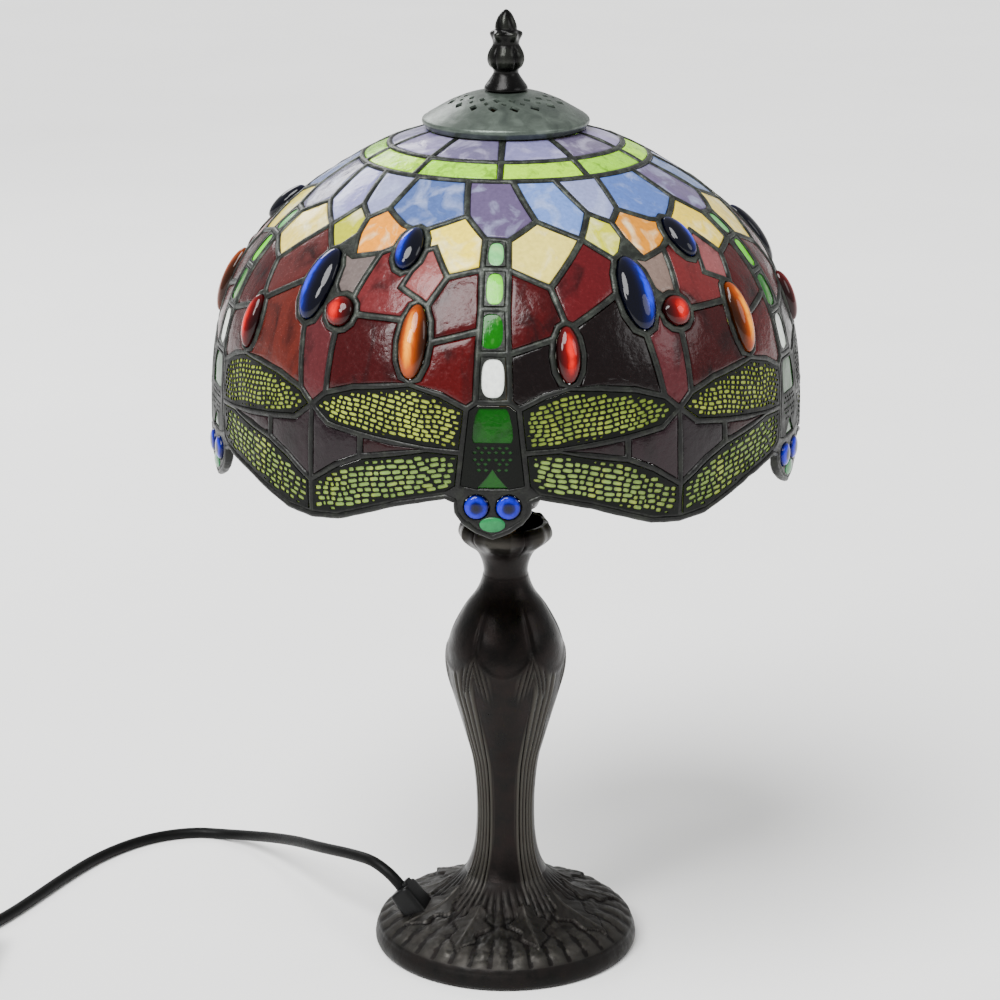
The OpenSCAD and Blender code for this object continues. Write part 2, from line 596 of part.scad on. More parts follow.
tail_route = [[plug_x, coil_y + coil_gap, 8.3], [plug_x, -92, 7.4], [plug_x, -82, 6.8],
              [plug_x, -70.2, 6.5]];

module cord_gland() {
  color("black") difference() {
    gland_frame() difference() {
      translate([-7, -9, 1]) cube([14, 18, 21]);
      for (side = [-1, 1])
        translate([0, side * 9, 22]) rotate([side * 35, 0, 0]) cube([20, 10, 5], center = true);
      translate([0, 0, -20]) cylinder(r = 3.4, h = 60);
    }
    turned(concat([[0, 0]], foot_skin, [[0, stem_z]]));
  }
}

module gland_screw() {
  color("silver") gland_frame() translate([0, -9.02, 16]) rotate([90, 0, 0]) cylinder(r = 2.4, h = 1.4);
}

module cord_lamp() { color("black") tube(lamp_route, cord_r); }
module cord_lead() { color("black") tube(lead_route, cord_r); }
module cord_tail() { color("black") tube(tail_route, cord_r); }

module cord_coil() {
  color("black") translate([coil_x, coil_y, 0]) rotate_extrude()
    translate([coil_mid - 1.5 * cord_d, 0]) square([3 * cord_d, 2 * cord_d]);
}

module cord_tie() {
  color("black") translate([coil_x, coil_y, 0]) rotate(-100) translate([coil_mid, 0, 0]) difference() {
    translate([-1.5 * cord_d - 1.2, -3, 0]) cube([3 * cord_d + 2.4, 6, 2 * cord_d + 1.2]);
    translate([-1.5 * cord_d - 0.4, -4, -1]) cube([3 * cord_d + 0.8, 8, 2 * cord_d + 1.1]);
  }
}

module slab(l, w, h, r) {
  linear_extrude(h) {
    square([w - 2 * r, l], center = true);
    square([w, l - 2 * r], center = true);
    for (x = [-1, 1], y = [-1, 1]) translate([x * (w / 2 - r), y * (l / 2 - r)]) circle(r = r);
  }
}

module switch_base() {
  color("black") translate([switch_x, switch_y, 0]) difference() {
    slab(switch_l, 25, 9, 8);
    translate([0, 0, 2]) slab(switch_l - 12, 20, 8, 4);
  }
}

rocker_pin_z = 15;
module switch_cover() {
  color("black") translate([switch_x, switch_y, 0]) difference() {
    translate([0, 0, 9]) slab(switch_l, 25, 9, 8);
    translate([0, 0, 8]) slab(switch_l - 12, 20, 5, 4);
    translate([-5.8, -12.5, 8]) cube([11.6, 25, 12]);
    translate([0, 0, rocker_pin_z]) rotate([0, 90, 0]) cylinder(r = 1.5 + FIT, h = 19, center = true);
  }
}

module switch_rocker() {
  color("black") translate([switch_x, switch_y, rocker_pin_z]) {
    rotate([90, 0, 90]) translate([0, 0, -5.4]) linear_extrude(10.8)
      polygon([[-10.6, -3], [-6, -6.2], [6, -6.2], [10.6, -3], [10.9, 4.8], [0, 3.4], [-10.9, 2.6]]);
    rotate([0, 90, 0]) cylinder(r = 1.5, h = 16, center = true);
  }
}

module plug_body() {
  color("black") translate([plug_x, -70, 6.5]) rotate([-90, 0, 0]) {
    cylinder(r1 = 3.6, r2 = 5, h = 26);
    translate([0, 0, 26]) linear_extrude(26) {
      square([18, 13], center = true);
      for (x = [-1, 1]) translate([x * 9, 0]) circle(r = 6.5);
    }
  }
}

module plug_blades() {
  color("silver") translate([plug_x, -18, 6.5])
    for (x = [-1, 1]) translate([x * 6.35 - 0.75, 0, -3.15]) cube([1.5, 16.5, 6.3]);
}

felt_pad();
ballast();
rod_nut();
lock_washer();
foot_casting();
stem_casting();
bud_casting();
leaf_cup();
threaded_rod();
lamp_wire();
cup_nut();
spacer();
harp_saddle();
harp();
harp_stud();
ferrule_front();
ferrule_back();
socket_cap();
socket_shell();
socket_core();
screw_shell();
centre_contact();
bulb_glass();
bulb_base();
lead_came();
glass_lavender();
glass_lime();
glass_lilac();
glass_amber();
glass_red();
glass_wing();
glass_body();
glass_tail();
glass_head();
blue_jewels();
amber_jewels();
red_jewels();
eyes();
wing_filigree();
body_filigree();
rim_wire();
crown_ring();
spider_wheel();
heat_cap();
seat_washer();
finial();
cord_gland();
gland_screw();
cord_lamp();
cord_lead();
cord_coil();
cord_tail();
cord_tie();
switch_base();
switch_cover();
switch_rocker();
plug_body();
plug_blades();
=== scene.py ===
"""Visual model of a table lamp with a leaded dragonfly shade, in metres."""
import math

import bmesh
import bpy
from mathutils import Matrix, Vector, geometry, noise


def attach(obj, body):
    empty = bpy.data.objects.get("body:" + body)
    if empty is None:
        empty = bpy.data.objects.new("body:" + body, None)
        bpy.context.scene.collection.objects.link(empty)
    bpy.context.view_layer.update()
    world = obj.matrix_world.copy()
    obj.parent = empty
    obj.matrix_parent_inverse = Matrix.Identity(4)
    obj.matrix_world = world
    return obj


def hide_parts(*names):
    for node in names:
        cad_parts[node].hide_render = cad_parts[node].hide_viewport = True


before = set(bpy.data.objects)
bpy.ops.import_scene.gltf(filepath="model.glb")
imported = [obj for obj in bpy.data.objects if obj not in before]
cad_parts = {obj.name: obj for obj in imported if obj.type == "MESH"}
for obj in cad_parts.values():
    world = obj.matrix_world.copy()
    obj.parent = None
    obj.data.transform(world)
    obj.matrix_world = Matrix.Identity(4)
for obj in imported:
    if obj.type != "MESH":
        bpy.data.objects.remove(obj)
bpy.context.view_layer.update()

MM = 0.001
TAU = 2 * math.pi


def sin_of(degrees):
    return math.sin(math.radians(degrees))


def cos_of(degrees):
    return math.cos(math.radians(degrees))


def bell(value, width):
    """1 where the value is 0, falling smoothly to 0 over about twice the width."""
    return math.exp(-(value / width) ** 2)


def step_up(value, low, high):
    """A smooth step from 0 at low to 1 at high."""
    t = min(max((value - low) / (high - low), 0), 1)
    return t * t * (3 - 2 * t)


def wrapped(angle, pitch):
    """Degrees from the nearest multiple of a pitch."""
    return (angle + pitch / 2) % pitch - pitch / 2


def drift(x, y, z):
    """Smooth chance, about -1 to 1, that is the same in every run."""
    return noise.noise(Vector((x, y, z)))


def add_object(name, data):
    thing = bpy.data.objects.new(name, data)
    bpy.context.scene.collection.objects.link(thing)
    return thing


# ---- the camera, at the picture's height and angle ----
CAMERA_DISTANCE = 1.5
CAMERA_HEIGHT = 0.7026
CAMERA_TURN = math.radians(2.5)
CAMERA_PITCH = math.radians(16.9)
CAMERA_ASIDE = 0.003  # the lamp stands a little right of the middle

camera_data = bpy.data.cameras.new("camera")
camera_data.lens = 108.6
camera_data.sensor_width = 36
camera = add_object("camera", camera_data)
camera.location = (
    CAMERA_DISTANCE * math.sin(CAMERA_TURN) - CAMERA_ASIDE,
    -CAMERA_DISTANCE * math.cos(CAMERA_TURN),
    CAMERA_HEIGHT,
)
camera.rotation_euler = (math.pi / 2 - CAMERA_PITCH, 0, CAMERA_TURN)
bpy.context.scene.camera = camera


# ---- materials ----
def linear(code):
    """A web colour such as "8090a0" as linear red, green, blue and alpha."""
    parts = [int(code[i:i + 2], 16) / 255 for i in (0, 2, 4)]
    return [p / 12.92 if p <= 0.04045 else ((p + 0.055) / 1.055) ** 2.4 for p in parts] + [1]


class Finish:
    """A procedural material under construction."""

    def __init__(self, name, color, roughness=0.5, metallic=0.0):
        self.material = bpy.data.materials.new(name)
        self.material.use_nodes = True
        self.tree = self.material.node_tree
        self.shader = self.tree.nodes["Principled BSDF"]
        self.shader.inputs["Base Color"].default_value = linear(color)
        self.shader.inputs["Roughness"].default_value = roughness
        self.shader.inputs["Metallic"].default_value = metallic
        place = self.node("ShaderNodeTexCoord")
        self.place = place.outputs["Object"]

    def node(self, kind, **settings):
        node = self.tree.nodes.new(kind)
        for key, value in settings.items():
            setattr(node, key, value)
        return node

    def link(self, source, target):
        self.tree.links.new(source, target)

    def set(self, **inputs):
        for key, value in inputs.items():
            self.shader.inputs[key.replace("_", " ")].default_value = value
        return self

    def stretched(self, x, y, z):
        """The place, with its axes scaled, for grain that runs one way."""
        mapping = self.node("ShaderNodeMapping")
        mapping.inputs["Scale"].default_value = (x, y, z)
        self.link(self.place, mapping.inputs["Vector"])
        return mapping.outputs["Vector"]

    def noise(self, size, detail=4, distortion=0.0, place=None):
        """Noise with features of about the given size in millimetres."""
        node = self.node("ShaderNodeTexNoise")
        node.inputs["Scale"].default_value = 1 / (size * MM)
        node.inputs["Detail"].default_value = detail
        node.inputs["Roughness"].default_value = 0.55
        node.inputs["Distortion"].default_value = distortion
        self.link(place or self.place, node.inputs["Vector"])
        return node.outputs["Fac"]

    def ramp(self, value, stops):
        """stops are (position, web colour) pairs."""
        node = self.node("ShaderNodeValToRGB")
        band = node.color_ramp
        while len(band.elements) < len(stops):
            band.elements.new(0.5)
        for element, (position, color) in zip(band.elements, stops):
            element.position = position
            element.color = linear(color)
        self.link(value, node.inputs["Fac"])
        return node.outputs["Color"]

    def mix(self, factor, first, second, mode="MIX"):
        node = self.node("ShaderNodeMix", data_type="RGBA", blend_type=mode)
        for value, socket in ((factor, 0), (first, 6), (second, 7)):
            if isinstance(value, str):
                node.inputs[socket].default_value = linear(value)
            elif isinstance(value, float):
                node.inputs[socket].default_value = value
            else:
                self.link(value, node.inputs[socket])
        return node.outputs[2]

    def spread(self, value, low, high, to_low=0.0, to_high=1.0):
        """Maps low..high of a value to to_low..to_high."""
        node = self.node("ShaderNodeMapRange")
        for key, number in zip(("From Min", "From Max", "To Min", "To Max"), (low, high, to_low, to_high)):
            node.inputs[key].default_value = number
        self.link(value, node.inputs["Value"])
        return node.outputs["Result"]

    def attribute(self, name, output="Fac"):
        return self.node("ShaderNodeAttribute", attribute_name=name).outputs[output]

    def color(self, socket):
        self.link(socket, self.shader.inputs["Base Color"])

    def rough(self, grain, low, high):
        """Lets the roughness follow a noise, from low to high."""
        self.link(self.spread(grain, 0.3, 0.7, low, high), self.shader.inputs["Roughness"])

    def bump(self, height, depth):
        """Adds relief of the given depth in millimetres."""
        node = self.node("ShaderNodeBump")
        node.inputs["Distance"].default_value = depth * MM
        self.link(height, node.inputs["Height"])
        before = self.shader.inputs["Normal"]
        if before.is_linked:
            self.link(before.links[0].from_socket, node.inputs["Normal"])
        self.link(node.outputs["Normal"], before)


def sheet_glass(name, streak, streak_size, grain, gloss, relief=0.25, share=0.6):
    """Opalescent sheet: each piece has its own tone, streaked with another colour."""
    finish = Finish(name, "808080", gloss)
    tone = finish.attribute("tone", "Color")
    streaks = finish.noise(streak_size, 4, 0.8, finish.stretched(1, 1, 0.4))
    fine = finish.noise(grain, 6)
    streaked = finish.mix(finish.spread(streaks, 0.5, 0.7, 0, share), tone, streak)
    finish.color(finish.mix(finish.spread(fine, 0.25, 0.75, 0.72, 1.0), "000000", streaked))
    finish.rough(fine, gloss * 0.7, gloss * 1.5)
    finish.bump(finish.noise(grain * 3, 3), relief)
    finish.bump(fine, relief * 0.12)
    finish.set(IOR=1.52, Specular_IOR_Level=0.22)
    return finish.material


def jewel_glass(name, rim, middle, painted_glow):
    """Pressed glass, coloured with painted light: a painted glow where light gathers in it and painted shade
    towards its rim.
    """
    finish = Finish(name, middle, 0.05)
    cloud = finish.noise(4, 3, 0.8, finish.stretched(1, 1, 0.4))
    painted_glow_here = finish.attribute("painted_glow", "Color")
    # painted light: the painted glow, broken up by noise, picks each spot's colour from painted shade up to
    # a painted glow
    painted_light_level = finish.mix(finish.spread(cloud, 0.3, 0.7, 0.65, 1.0), "000000", painted_glow_here)
    finish.color(finish.ramp(painted_light_level, [(0.0, rim), (0.38, middle), (0.85, painted_glow)]))
    finish.bump(finish.noise(3, 2), 0.04)
    finish.set(IOR=1.55, Specular_IOR_Level=0.22)
    return finish.material


def bronze(name, dark, body, worn, gloss=0.38):
    finish = Finish(name, body, gloss, 0.75)
    wear = finish.attribute("wear")
    cloud = finish.noise(9, 6)
    speck = finish.noise(1.1, 5)
    base = finish.mix(finish.spread(cloud, 0.35, 0.7), dark, body)
    finish.color(finish.mix(finish.spread(wear, 0.3, 1.0, 0.0, 0.8), base, worn))
    finish.rough(cloud, gloss * 0.8, gloss * 1.35)
    finish.bump(speck, 0.07)
    finish.bump(finish.noise(4, 4), 0.15)
    return finish.material


def plain_metal(name, color, worn, gloss, scratch=0.4):
    finish = Finish(name, color, gloss, 1.0)
    cloud = finish.noise(7, 5)
    finish.color(finish.mix(finish.spread(cloud, 0.35, 0.7), color, worn))
    finish.rough(finish.noise(scratch, 3, 0, finish.stretched(1, 1, 12)), gloss * 0.75, gloss * 1.3)
    finish.bump(finish.noise(scratch, 3), 0.015)
    return finish.material


def plastic(name, color, gloss, grain=0.6, shine=0.18):
    finish = Finish(name, color, gloss)
    finish.set(Specular_IOR_Level=shine)
    cloud = finish.noise(grain, 4)
    finish.color(finish.mix(finish.spread(finish.noise(12, 4), 0.3, 0.7, 0.0, 0.35), color, "0b0c0d"))
    finish.rough(cloud, gloss * 0.8, gloss * 1.25)
    finish.bump(cloud, 0.02)
    return finish.material


def lead_finish():
    """Solder, grey-green towards the top of the shade and nearly black below."""
    finish = Finish("lead", "191b17", 0.42, 0.5)
    cloud = finish.noise(6, 6, 0.5)
    fine = finish.noise(0.9, 5)
    axes = finish.node("ShaderNodeSeparateXYZ")
    finish.link(finish.place, axes.inputs["Vector"])
    height = finish.spread(axes.outputs["Z"], 0.325, 0.4)
    low = finish.ramp(cloud, [(0.3, "030302"), (0.5, "080907"), (0.72, "1c1f18")])
    high = finish.ramp(cloud, [(0.3, "10120f"), (0.5, "20241f"), (0.72, "424840")])
    finish.color(finish.mix(height, low, high))
    finish.rough(fine, 0.3, 0.55)
    finish.bump(fine, 0.12)
    finish.bump(finish.noise(3.5, 3), 0.3)
    return finish.material


def mottled(name, gloss, metallic, cloud, shades, bumps, gloss_range=None, **inputs):
    """Shades in patches of one noise, with relief from others, each as a depth in mm and a noise."""
    finish = Finish(name, shades[len(shades) // 2][1], gloss, metallic)
    finish.color(finish.ramp(finish.noise(*cloud), shades))
    for depth, *settings in bumps:
        grain = finish.noise(*settings)
        finish.bump(grain, depth)
        if gloss_range:
            finish.rough(grain, *gloss_range)
            gloss_range = None
    return finish.set(**inputs).material


LEAD = lead_finish()
CAP = mottled("cap_patina", 0.36, 0.6, (8, 6, 0.6), [(0.3, "3c443f"), (0.5, "4a534c"), (0.7, "5c665e")],
              [(0.05, 0.8, 5), (0.2, 5, 3)], (0.28, 0.46))
FELT = mottled("felt", 0.95, 0.0, (0.5, 8, 1.0), [(0.3, "12241a"), (0.7, "2a4634")], [(0.3, 0.5, 8, 1.0)],
               Sheen_Weight=0.5)
FROSTED = mottled("frosted_glass", 0.35, 0.0, (14, 4), [(0.3, "ebe8e0"), (0.7, "f8f7f4")], [(0.01, 0.6, 3)],
                  Coat_Weight=0.3, Coat_Roughness=0.1)
BRONZE = bronze("bronze", "050302", "150c0a", "403e38", 0.32)
FOOT_BRONZE = bronze("foot_bronze", "040302", "110b09", "403e3a", 0.5)
FINIAL = bronze("finial_bronze", "030303", "0c0b0a", "32342f", 0.26)
SOCKET = bronze("socket_bronze", "0d0b0a", "221c19", "54504a", 0.28)
FILIGREE = bronze("filigree", "030403", "080a07", "1c201a", 0.5)
BRASS = plain_metal("gilt_brass", "8a6c3c", "5e4a2c", 0.32)
STEEL = plain_metal("zinc_steel", "9a9c9c", "6f7274", 0.35)
IRON = plain_metal("cast_iron", "3a3a3a", "26282a", 0.6, 1.2)
BLADE = plain_metal("plated_blade", "c9bd92", "a89a6a", 0.22)
BLACK = plastic("black_moulding", "030303", 0.42)
CORD = plastic("cord_rubber", "020202", 0.5, 0.9, 0.12)
INSULATOR = plastic("insulator", "1d1714", 0.3)
GLASS = {
    "glass_lavender": sheet_glass("lavender_glass", "c4c0dc", 20, 2.2, 0.16),
    "glass_lime": sheet_glass("lime_glass", "5a8a08", 5, 1.5, 0.2, 0.5, 0.8),
    "glass_lilac": sheet_glass("lilac_glass", "b4c0e2", 14, 2.0, 0.18, 0.4, 0.5),
    "glass_amber": sheet_glass("amber_glass", "f4eec4", 13, 2.4, 0.16, 0.25, 0.7),
    "glass_red": sheet_glass("red_glass", "080102", 16, 1.6, 0.2, 0.35, 0.8),
    "glass_wing": sheet_glass("wing_glass", "b4c040", 9, 1.5, 0.3),
    "glass_body": sheet_glass("body_glass", "031c02", 10, 2.0, 0.15),
    "glass_tail": sheet_glass("tail_glass", "a8d488", 10, 2.0, 0.15, 0.25, 0.4),
    "glass_head": sheet_glass("head_glass", "1c5a38", 8, 2.0, 0.15),
    # each jewel's colours: painted shade at its rim, its middle colour, then its painted glow
    "blue_jewels": jewel_glass("blue_jewel", "01020c", "020a50", "0a2ce8"),
    "amber_jewels": jewel_glass("amber_jewel", "1c0800", "9a3e00", "ffa000"),
    "red_jewels": jewel_glass("red_jewel", "100102", "5c0204", "d80c04"),
    "eyes": jewel_glass("eye_jewel", "000014", "010348", "0206b4"),
}


# ---- building meshes ----
def add_piece(name, points, faces, material, body, nodes=(), smooth=True):
    """Makes a piece that rides on a body and, if nodes are named, stands for them."""
    mesh = bpy.data.meshes.new(name)
    mesh.from_pydata([tuple(p) for p in points], [], faces)
    mesh.validate()
    mesh.materials.append(material)
    for polygon in mesh.polygons:
        polygon.use_smooth = smooth
    piece = add_object(name, mesh)
    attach(piece, body)
    if nodes:
        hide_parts(*nodes)
    return piece


def paint(piece, name, values):
    """Stores one number or colour per point for the material."""
    color = not isinstance(values[0], float)
    layer = piece.data.attributes.new(name, "FLOAT_COLOR" if color else "FLOAT", "POINT")
    for item, value in zip(layer.data, values):
        if color:
            item.color = value
        else:
            item.value = value


def sharpen(piece, angle):
    """Keeps a smooth piece's edges sharp where they turn by more than an angle."""
    piece.data.set_sharp_from_angle(angle=math.radians(angle))


def finish_edges(piece, width=0.3, levels=0, angle=35):
    """Rounds a piece's hard edges, in millimetres, and smooths it if asked."""
    bevel = piece.modifiers.new("bevel", "BEVEL")
    bevel.width = width * MM
    bevel.segments = 3
    bevel.angle_limit = math.radians(angle)
    bevel.harden_normals = True
    if levels:
        rounding = piece.modifiers.new("rounding", "SUBSURF")
        rounding.levels = levels
        rounding.render_levels = levels


def catmull(points, steps):
    """A smooth curve through points of two numbers."""
    line = []
    for i in range(len(points) - 1):
        a, b = Vector(points[max(i - 1, 0)]), Vector(points[i])
        c, d = Vector(points[i + 1]), Vector(points[min(i + 2, len(points) - 1)])
        for step in range(steps):
            t = step / steps
            line.append((2 * b + (c - a) * t + (2 * a - 5 * b + 4 * c - d) * t * t
                         + (3 * b - a - 3 * c + d) * t ** 3) / 2)
    return [tuple(place) for place in line + [Vector(points[-1])]]


def ring_faces(rows, count, closed=True):
    """Quads between rows of points that are each a closed ring, and from the last row to the first."""
    return [(i * count + k, i * count + (k + 1) % count,
             (i + 1) % rows * count + (k + 1) % count, (i + 1) % rows * count + k)
            for i in range(rows if closed else rows - 1) for k in range(count)]


def turned(angle, radius, height):
    """A place in metres, from an angle that is zero at the front and a radius and height in mm."""
    return (radius * math.sin(angle) * MM, -radius * math.cos(angle) * MM, height * MM)


def lathe(name, profile, relief, material, body, nodes=(), segments=240):
    """Turns a profile of (radius, height) in mm about Z.

    relief(angle, radius, height) gives the outward relief in mm and the wear, 0 to 1.
    """
    points, wear = [], []
    for radius, height in profile:
        for k in range(segments):
            angle = TAU * k / segments
            push, worn = relief(angle, radius, height) if relief else (0.0, 0.5)
            points.append(turned(angle, max(radius + push, 0.0), height))
            wear.append(float(worn))
    faces = ring_faces(len(profile), segments)
    piece = add_piece(name, points, faces, material, body, nodes)
    paint(piece, "wear", wear)
    return piece


# ---- the cord, switch and plug ----
CORD_D = 6 * MM
COIL = Vector((-0.329, -0.125, 0))
COIL_MIDDLE = 35 * MM  # the radius of the middle one of the coil's three turns
# The route in mm from the gland to the switch, on to the coil, and from the coil to the plug.
LAMP_ROUTE = [
    (-55.2, -8.5, 30.2), (-56.1, -8.2, 31.4), (-58.7, -7.4, 34.2), (-61.4, -6.1, 36.7), (-64.4, -4.5, 38.7),
    (-67.4, -2.5, 40.2), (-70.4, -0.2, 41.2), (-73.4, 2.3, 41.6), (-77, 5.8, 41.4), (-87, 16.2, 39.4),
    (-98, 28.6, 36), (-108, 43.2, 31.6), (-118.7, 62.3, 25.6), (-129.3, 80, 19.4), (-139.8, 95.2, 13.8),
    (-148.4, 105.6, 9.8), (-157, 114.6, 6.4), (-165.5, 120.6, 4.2), (-175, 124.6, 3), (-185, 125.7, 3),
    (-197, 123, 3), (-208, 118, 3), (-218, 110.6, 3), (-228, 100, 3), (-237, 87.5, 3), (-245, 73, 3),
    (-254, 53, 3), (-265, 26, 3), (-271.5, 11, 3), (-278, -2, 3.2), (-283, -11.5, 4.6), (-286.4, -20.5, 6.9),
    (-288, -29.4, 9),
]
LEAD_ROUTE = [(-288, -90.6, 9), (-288, -96, 8.2), (-288, -101.5, 7), (-288, -109, 4.7), (-288, -117, 3.3)]
TAIL_ROUTE = [(-370, -114, 8.9), (-370, -101.5, 8.3), (-370, -92, 7.4), (-370, -82, 6.8), (-370, -70.2, 6.5)]
TURNS_IN = 3
TURNS_OUT = 2.5
TURN_POINTS = 24


def coil_points():
    """In from the right in three turns on the table, then out on top of them."""
    line = []
    steps = int((TURNS_IN + TURNS_OUT) * TURN_POINTS)
    for i in range(steps + 1):
        turn = i / TURN_POINTS
        inward = min(turn, TURNS_IN) - 0.5 if turn > 0.5 else 0
        outward = max(turn - TURNS_IN - 0.5, 0)
        radius = COIL_MIDDLE + CORD_D - CORD_D * min(max(inward, 0), 2) + CORD_D * min(outward, 2)
        height = CORD_D / 2 + CORD_D * step_up(turn, TURNS_IN - 0.25, TURNS_IN + 0.25)
        angle = -TAU * turn
        line.append(COIL + Vector((radius * math.cos(angle), radius * math.sin(angle), height)))
    return line


def add_cord():
    line = [Vector(place) * MM for place in LAMP_ROUTE + LEAD_ROUTE] + coil_points()
    line += [Vector(place) * MM for place in TAIL_ROUTE]
    curve = bpy.data.curves.new("mains_cord", "CURVE")
    curve.dimensions = "3D"
    spline = curve.splines.new("NURBS")
    spline.points.add(len(line) - 1)
    for point, place in zip(spline.points, line):
        point.co = (*place, 1)
    spline.order_u = 3
    spline.use_endpoint_u = True
    spline.resolution_u = 4
    curve.bevel_depth = CORD_D / 2
    curve.bevel_resolution = 5
    curve.use_fill_caps = True
    curve.materials.append(CORD)
    piece = add_object("mains_cord", curve)
    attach(piece, "column")
    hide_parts("cord_lamp", "cord_lead", "cord_coil", "cord_tail")
    return piece


def add_sleeve(name, start, way, length, wide, narrow):
    """A tapered, grooved strain relief from a housing along a direction, in mm."""
    way = Vector(way).normalized()
    side = way.cross(Vector((0, 0, 1)))
    side = side.normalized() if side.length > 0.1 else Vector((1, 0, 0))
    up = side.cross(way)
    rings, sides = 40, 32
    points = []
    for i in range(rings + 1):
        t = i / rings
        radius = wide + (narrow - wide) * t
        groove = 0.45 if 0.12 < t < 0.94 and (t * 7) % 1 > 0.6 else 0
        radius = max(radius - groove, 3.05) if i < rings else 3.02
        for k in range(sides):
            angle = TAU * k / sides
            across = side * math.cos(angle) + up * math.sin(angle)
            points.append((Vector(start) + way * length * t + across * radius) * MM)
    faces = [(face[0], *face[:0:-1]) for face in ring_faces(rings + 1, sides, closed=False)]
    faces.append(tuple(range(sides)))
    faces.append(tuple(reversed(range(rings * sides, (rings + 1) * sides))))
    piece = add_piece(name, points, faces, BLACK, "column")
    finish_edges(piece, 0.15)
    return piece


def rounded_box(name, size, radius, nodes, matrix, crown=0.0, taper=0.0):
    """A black moulding, rounded in plan, of a size in mm: crowned on top and narrower there."""
    sx, sy, sz = (s / 2 for s in size)
    corners = []
    for cx, cy, start in ((1, 1, 0), (-1, 1, 90), (-1, -1, 180), (1, -1, 270)):
        for step in range(7):
            angle = math.radians(start + 15 * step)
            corners.append((cx * (sx - radius) + radius * math.cos(angle),
                            cy * (sy - radius) + radius * math.sin(angle)))
    rows = [(1.0, -sz), (1.0, -sz + 0.5), (1.0, 0), (1.0, max(sz - 2, 0.2)), (0.985, sz - 1.0),
            (0.93, sz - 0.3), (0.8, sz)]
    points = []
    for scale, z in rows:
        for x, y in corners:
            rise = crown * (1 - (x / sx) ** 2) if z > sz - 2.5 else 0
            wide = scale * (1 - taper * (z + sz) / (2 * sz))
            points.append(Vector((x * wide, y * wide, z + rise)))
    n = len(corners)
    faces = ring_faces(len(rows), n, closed=False)
    faces.append(tuple(reversed(range(n))))
    faces.append(tuple(range((len(rows) - 1) * n, len(rows) * n)))
    points = [(matrix @ p) * MM for p in points]
    piece = add_piece(name, points, faces, BLACK, "column", nodes)
    finish_edges(piece, 0.5, 1, 60)
    return piece


def copied(node):
    """A copy of a CAD node's mesh, with its triangles joined at their corners."""
    mesh = bmesh.new()
    mesh.from_mesh(bpy.data.objects[node].data)
    bmesh.ops.remove_doubles(mesh, verts=mesh.verts, dist=0.01 * MM)
    return mesh


def refined(node, material, body, width=0.3, angle=35):
    """A CAD node's shape again, with its edges rounded by so many mm."""
    mesh = copied(node)
    bmesh.ops.dissolve_limit(mesh, angle_limit=math.radians(1), verts=mesh.verts, edges=mesh.edges)
    points = [v.co.copy() for v in mesh.verts]
    faces = [tuple(v.index for v in face.verts) for face in mesh.faces]
    mesh.free()
    piece = add_piece(node + "_eased", points, faces, material, body, (node,))
    sharpen(piece, angle)
    finish_edges(piece, width, 0, angle)
    return piece


cord = add_cord()
switch_ends = [
    add_sleeve("switch_relief_in", (-288, -31, 9), (0.06, 1, -0.16), 20, 4.8, 3.3),
    add_sleeve("switch_relief_out", (-288, -89, 9), (0, -1, -0.19), 20, 4.8, 3.3),
]
plug_relief = add_sleeve("plug_relief", (-370, -44, 6.5), (0, -1, 0), 26, 5.2, 3.3)
upside_down = Matrix.Translation((-288, -60, 4.5)) @ Matrix.Rotation(math.pi, 4, "Y")
switch_base = rounded_box("switch_base_shell", (25, 60, 9), 8, ("switch_base",), upside_down)
cord_parts = [
    refined("switch_cover", BLACK, "column", 0.8),
    refined("switch_rocker", BLACK, "rocker", 0.5),
    refined("plug_body", BLACK, "column", 1.2),
    refined("plug_blades", BLADE, "column", 0.3),
    refined("cord_tie", BLACK, "column", 0.35),
]

# ---- the leaded shade ----
DOME_R = 150
DOME_Z = 297
SHOULDER = 5
SECTOR = 72
GLASS_THICK = 2.6
PER_DEGREE = math.radians(DOME_R)  # mm along the skirt for one degree
WINGS_MEET = 84  # degrees down, between the upper and the lower wings
WING_REACH = 42  # mm from a wing's middle to past its ends
WING_BAR = 0.37  # half the width in mm of the bars between a wing's holes
WING_EDGE = 0.7  # mm left whole along a wing's outline


def fullness(down):
    return SHOULDER * sin_of(3 * (down - 30)) ** 2 if 30 < down < 90 else 0


def dome(around, down, out=0.0):
    """The place, in mm, at degrees around and down, out from the shade's face."""
    a, d = math.radians(around), math.radians(down)
    if down > 90:
        reach = DOME_R + out
        return Vector((reach * math.sin(a), -reach * math.cos(a), DOME_Z - (down - 90) * PER_DEGREE))
    radius = DOME_R + fullness(down) + out
    return Vector((radius * math.sin(d) * math.sin(a), -radius * math.sin(d) * math.cos(a),
                   DOME_Z + radius * math.cos(d)))


def undome(place):
    """Degrees around and down and the distance out of a place in mm."""
    around = math.degrees(math.atan2(place.x, -place.y))
    if place.z < DOME_Z:
        return around, 90 + (DOME_Z - place.z) / PER_DEGREE, math.hypot(place.x, place.y) - DOME_R
    offset = place - Vector((0, 0, DOME_Z))
    down = math.degrees(math.acos(min(offset.z / offset.length, 1)))
    return around, down, offset.length - DOME_R - fullness(down)


def shell_faces(node, keep):
    """The triangles of a CAD node whose corners' distance out all pass a test, in mm."""
    mesh = copied(node)
    bmesh.ops.triangulate(mesh, faces=mesh.faces)
    spots = {v: undome(v.co / MM) for v in mesh.verts}
    inside = [f for f in mesh.faces if not all(keep(spots[v][2]) for v in f.verts)]
    bmesh.ops.delete(mesh, geom=inside, context="FACES_ONLY")
    loose = [v for v in mesh.verts if not v.link_faces]
    bmesh.ops.delete(mesh, geom=loose, context="VERTS")
    return mesh


